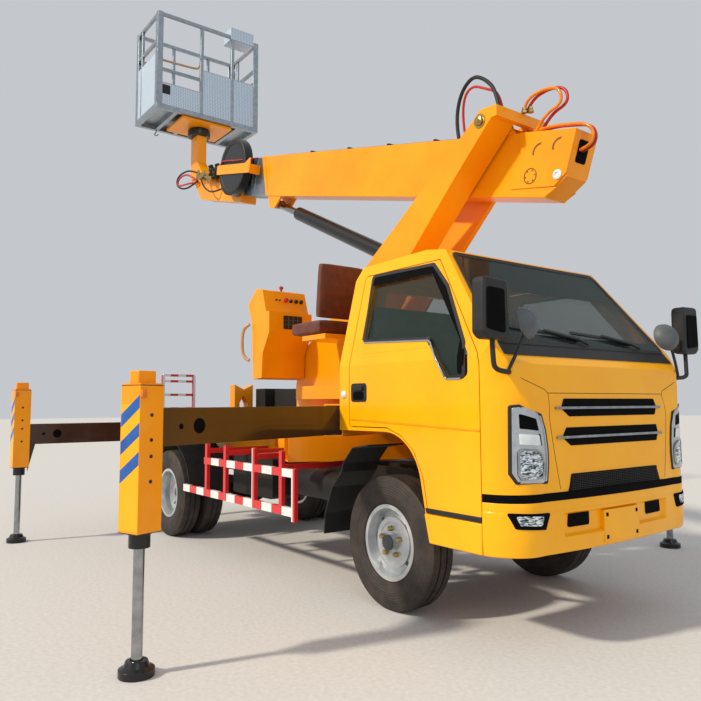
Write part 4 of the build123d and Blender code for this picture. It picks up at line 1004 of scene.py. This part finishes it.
# Boom: edge strips, the painted shade arcs, ring and pin end on its butt, the painted shade in the end
# opening and the pivot nut
bm = bmesh.new()
for out in (1, -1):
    def either_side(s, n, w):
        return boom_side(s, n, out * w)

    prism(bm, [(-420, -438), (3100, -438), (3128, -376), (-500, -376)], either_side, 97, 100)
    prism(bm, [(3050, -436), (3098, -436), (3276, -40), (3226, -40)], either_side, 97, 103)
settle("boom_edge_strips", bm, yellow_enamel_painted_shade, "boom", 0.002)
# Brown crescents: painted shade on the upper rims of two round holes in the butt's plate.
bm = bmesh.new()
for x, z in ((690, 2772), (836, 2762)):
    arc = [(x + r * cos(radians(a)), z + r * sin(radians(a)))
           for r, sweep in ((58, range(70, 196, 14)), (44, range(195, 69, -14))) for a in sweep]
    prism(bm, arc, sideways, -108, -105)
settle("butt_painted_shade_arcs", bm, sealer_and_painted_shade, "boom", 0.001)
bm = bmesh.new()
turned(bm, [(44, 106), (50, 106), (50, 109), (44, 109)], (611, 0, 2641), (0, -1, 0))
for k in range(6):
    a = radians(60 * k)
    turned(bm, [(0, 106), (5, 106), (5, 110), (0, 110)], (611 + 36 * cos(a), 0, 2641 + 36 * sin(a)),
           (0, -1, 0), 10)
settle("butt_ring_and_screws", bm, sealer_and_painted_shade, "boom", 0.0)
bm = bmesh.new()
pin_end = [(0, 104), (30, 104), (30, 114), (22, 118), (14, 118), (12, 112), (0, 112)]
turned(bm, pin_end, (812, 0, 2596), (0, -1, 0))
settle("butt_pin_end", bm, white_plastic, "boom", 0.001)


def butt(y, s_shift, lift):
    """On the face of the boom's butt end, s_shift down from its top."""
    top, low = on_boom(-575, -50), on_boom(-556, -300)
    t = s_shift / 250
    return place(top[0] + (low[0] - top[0]) * t + lift, y, top[1] + (low[1] - top[1]) * t)


# The end opening's near-black is painted shade inside it.
bm = bmesh.new()
prism(bm, rounded([(-52, 36), (44, 36), (44, 170), (-52, 170)], 14), butt, -2, 3)
settle("butt_end_opening", bm, black_trim_and_painted_shade, "boom", 0.0)
bm = bmesh.new()
pivot = (BOOM_PIN[0], 0, BOOM_PIN[1])
pivot_nut = [(0, 328), (30, 328), (33, 332), (30, 344), (20, 348), (20, 354), (0, 354)]
turned(bm, pivot_nut, pivot, (0, -1, 0), 6)
turned(bm, [(0, 323), (46, 323), (46, 329), (0, 329)], pivot, (0, -1, 0))
settle("boom_pin_nut", bm, zinc_plate, "boom", 0.002)

# Hoses at the column's head and along the boom's top
for name, shift, finish, width, long in (("head_black_hose", 0, black_plastic, 26, 0.969),
                                         ("head_red_hose", 34, red_hose, 18, 0.853)):
    hose(name, [(-30 + shift, -64 + shift, 3086), (-52 + shift, -70 + shift, 3220),
                (10 + shift, -86, 3400 - shift), (150, -110, 3470 - 2 * shift),
                (300, -150, 3380 - 2 * shift), (425, -185 + shift, 3240), (458, -200 + shift, 3092)],
         width, finish, "boom")
for name, shift, finish in (("head_amber_loop", 0, lamp_amber), ("head_red_loop", 26, red_hose)):
    hose(name, [(548, -70 + shift, 3084), (560 + shift, -70 + shift, 3150), (680 + shift, -70 + shift, 3180),
                (815 + shift, -70 + shift, 3150), (840 + shift, -70 + shift, 3040),
                (700 + shift, -70 + shift, 3010), (640 + shift, -70 + shift, 2930)],
         20, finish, "boom")
for name, shift, finish in (("butt_amber_hose", 0, lamp_amber), ("butt_red_hose", 26, red_hose)):
    hose(name, [(620, -60 + shift, 2936), (740, -60 + shift, 2930), (880, -60 + shift, 2896),
                (1000, -56 + shift, 2860), (1032, -50 + shift, 2790), (1000, -44 + shift, 2730),
                (926, -40 + shift, 2728)], 20, finish, "boom")
bm = bmesh.new()
for x, y in ((470, -200), (470, -166), (560, -70), (590, -44)):
    nut = [(0, 3076), (20, 3076), (20, 3090), (15, 3096), (15, 3112), (0, 3112)]
    turned(bm, nut, (x - 10, y, 0), (0, 0, 1), 6)
settle("head_hose_fittings", bm, zinc_plate, "boom", 0.001)
for k in range(2):
    y = -40 + 26 * k
    line = [on_boom(s, -26) for s in (2900, 2200, 1500, 900, 500)]
    piped(f"boom_top_hose_{k}", [(x, y, z) for x, z in line], 16, black_plastic, "boom")
bm = bmesh.new()
for s in (700, 1250, 1800, 2400):
    prism(bm, rounded([(s - 16, -36), (s + 16, -36), (s + 16, -10), (s - 16, -10)], 5), boom_side, -62, 8)
settle("boom_hose_clips", bm, black_enamel, "boom", 0.002)

# Operator's console: window with its bars, knobs, red buttons and the grab rail
bm = bmesh.new()
prism(bm, rounded([(-606, 1846), (-430, 1846), (-430, 1956), (-606, 1956)], 6), facing, -1509, -1502)
for y, r in ((-626, 7), (-594, 7), (-486, 15), (-436, 17), (-386, 17)):
    turned(bm, [(0, -2), (r, -2), (r, 12), (r - 4, 18), (0, 18)], (-1594, y, 2092), (0.949, 0, 0.316), 20)
settle("console_knobs_and_window", bm, black_enamel, "turret", 0.001)
bm = bmesh.new()
for k in range(1, 4):
    y = -606 + 44 * k
    prism(bm, [(y - 3, 1850), (y + 3, 1850), (y + 3, 1952), (y - 3, 1952)], facing, -1503, -1500)
for k in range(1, 3):
    z = 1846 + 37 * k
    prism(bm, [(-602, z - 2), (-434, z - 2), (-434, z + 2), (-602, z + 2)], facing, -1503, -1500.5)
settle("console_window_bars", bm, grey_plastic, "turret", 0.0)
bm = bmesh.new()
turned(bm, [(0, -2), (13, -2), (13, 10), (20, 16), (20, 26), (12, 32), (0, 32)], (-1594, -540, 2092),
       (0.949, 0, 0.316), 20)
turned(bm, [(0, 0), (9, 0), (9, 14), (18, 20), (18, 34), (10, 42), (0, 42)], (-1660, -540, 2182),
       (0.1, 0, 1), 20)
settle("console_red_buttons", bm, red_hose, "turret", 0.0)
piped("console_grab_rail", [(-1800, -760, 1600), (-1850, -790, 1620), (-1860, -800, 1750),
                            (-1850, -790, 1880), (-1800, -760, 1900)], 28, tan_plastic, "turret")


# Seats: crowned pads with sewn channels
def cushion(name, x, y, z, finish, body, crown=18, lean=0.0, channels=3):
    """A padded block between three pairs of limits: crowned faces, drawn-in sides, sewn channels."""
    middle = [(low + high) / 2 for low, high in (x, y, z)]
    half = [(high - low) / 2 for low, high in (x, y, z)]
    thin = half.index(min(half))
    bm = bmesh.new()
    bmesh.ops.create_cube(bm, size=2)
    bmesh.ops.subdivide_edges(bm, edges=bm.edges[:], cuts=15, use_grid_fill=True)
    wide = [k for k in range(3) if k != thin]
    for vertex in bm.verts:
        u, v, w = vertex.co[wide[0]], vertex.co[wide[1]], vertex.co[thin]
        dome = (1 - u ** 4) * (1 - v ** 4)
        seam = sum(max(0, 1 - abs(v - (2 * (k + 1) / channels - 1)) / 0.07) for k in range(channels - 1))
        seam *= 1 - u ** 4
        spot = [0, 0, 0]
        spot[wide[0]] = u * (half[wide[0]] - 10 * (1 - (1 - abs(w) ** 6)) - 5 * abs(v) ** 6)
        spot[wide[1]] = v * (half[wide[1]] - 10 * (1 - (1 - abs(w) ** 6)) - 5 * abs(u) ** 6)
        spot[thin] = w * (half[thin] - crown + crown * dome - 9 * seam)
        tilt = lean * spot[2]
        vertex.co = place(middle[0] + spot[0] + tilt, middle[1] + spot[1], middle[2] + spot[2])
    made = settle(name, bm, finish, body, 0.0, 60)
    return made


seat = cushion("operator_cushion", (-1176, -794), (-736, -349), (1738, 1858), brown_vinyl, "turret")
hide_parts("operator_seat")
cushion("operator_back", (-846, -770), (-736, -349), (1864, 2254), brown_vinyl, "turret", 14, 0.1)
for number, (y, width) in enumerate(((-300, 820), (480, 480))):
    low, high = y - width / 2 + 4, y + width / 2 - 4
    pad = cushion(f"cab_cushion_{number}", (-166, 336), (low, high), (1184, 1298), grey_cloth, "chassis")
    cushion(f"cab_back_{number}", (-286, -178), (low, high), (1304, 1876), grey_cloth, "chassis", 14, -0.06)
    bm = bmesh.new()
    bar_box(bm, (-126, 296), (low + 40, high - 40), (1116, 1182))
    settle(f"cab_seat_base_{number}", bm, black_plastic, "chassis", 0.004)
    if number == 0:
        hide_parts("cab_seats")

# Camera, light and floor
IMAGE_SIZE = 701
FOCAL_PIXELS = 687.035
CENTRE_PIXELS = (349.3, 342.0)
camera_data = bpy.data.cameras.new("camera")
camera_data.sensor_width = 36
camera_data.lens = FOCAL_PIXELS / IMAGE_SIZE * 36
camera_data.shift_x = (IMAGE_SIZE / 2 - CENTRE_PIXELS[0]) / IMAGE_SIZE
camera_data.shift_y = (CENTRE_PIXELS[1] - IMAGE_SIZE / 2) / IMAGE_SIZE
camera_data.clip_end = 200
camera = bpy.data.objects.new("camera", camera_data)
bpy.context.scene.collection.objects.link(camera)
bpy.context.scene.camera = camera
camera_yaw, camera_pitch, camera_roll = 2.50449, 0.08909, -0.00383
level = cos(camera_pitch)
ahead = Vector((cos(camera_yaw) * level, sin(camera_yaw) * level, sin(camera_pitch)))
side = ahead.cross(Vector((0, 0, 1))).normalized()
up = side.cross(ahead)
side, up = cos(camera_roll) * side + sin(camera_roll) * up, cos(camera_roll) * up - sin(camera_roll) * side
camera_spot = place(3280.8, -3483.7, 1240.7)
camera_turn = Matrix((side, up, -ahead)).transposed().to_4x4()
camera.matrix_world = Matrix.Translation(camera_spot) @ camera_turn

floor_material, tree, surface = shader("pale_floor", Roughness=0.9)
floor_spot = add(tree, "TexCoord").outputs["Object"]
speckle = add(tree, "TexNoise", Vector=floor_spot, Scale=40.0, Detail=6.0).outputs["Fac"]
floor_stops = [(0.3, "#C9C7C4"), (0.7, "#D6D4D1")]
concrete = add(tree, "ValToRGB", {"stops": floor_stops}, Fac=speckle).outputs["Color"]
join(tree, surface, Base_Color=concrete)
floor_mesh = bpy.data.meshes.new("floor")
floor_mesh.from_pydata([(-60, -60, 0), (60, -60, 0), (60, 60, 0), (-60, 60, 0)], [], [(0, 1, 2, 3)])
floor_mesh.materials.append(floor_material)
floor = bpy.data.objects.new("floor", floor_mesh)
bpy.context.scene.collection.objects.link(floor)

world = bpy.data.worlds.new("studio")
world.use_nodes = True
bpy.context.scene.world = world
background = world.node_tree.nodes["Background"]
background.inputs["Color"].default_value = srgb("#E9EDF2")
background.inputs["Strength"].default_value = 0.68


def lamp(name, kind, location, target, energy, size, colour="#FFFFFF"):
    """A soft lamp aimed at a point."""
    data = bpy.data.lights.new(name, kind)
    data.energy = energy
    data.color = srgb(colour)[:3]
    if kind == "AREA":
        data.size = size
    else:
        data.angle = size
    made = bpy.data.objects.new(name, data)
    made.location = location
    made.rotation_mode = "QUATERNION"
    made.rotation_quaternion = (Vector(target) - Vector(location)).to_track_quat("-Z", "Y")
    bpy.context.scene.collection.objects.link(made)
    return made


lamp("key", "SUN", (-3, -14, 12), (0, 0, 1), 3.1, radians(4), "#FFF4E0")
lamp("fill", "AREA", (12, -4, 6), (1, 0, 2), 160, 6, "#EAF2FF")

bpy.context.scene.view_settings.view_transform = "Standard"
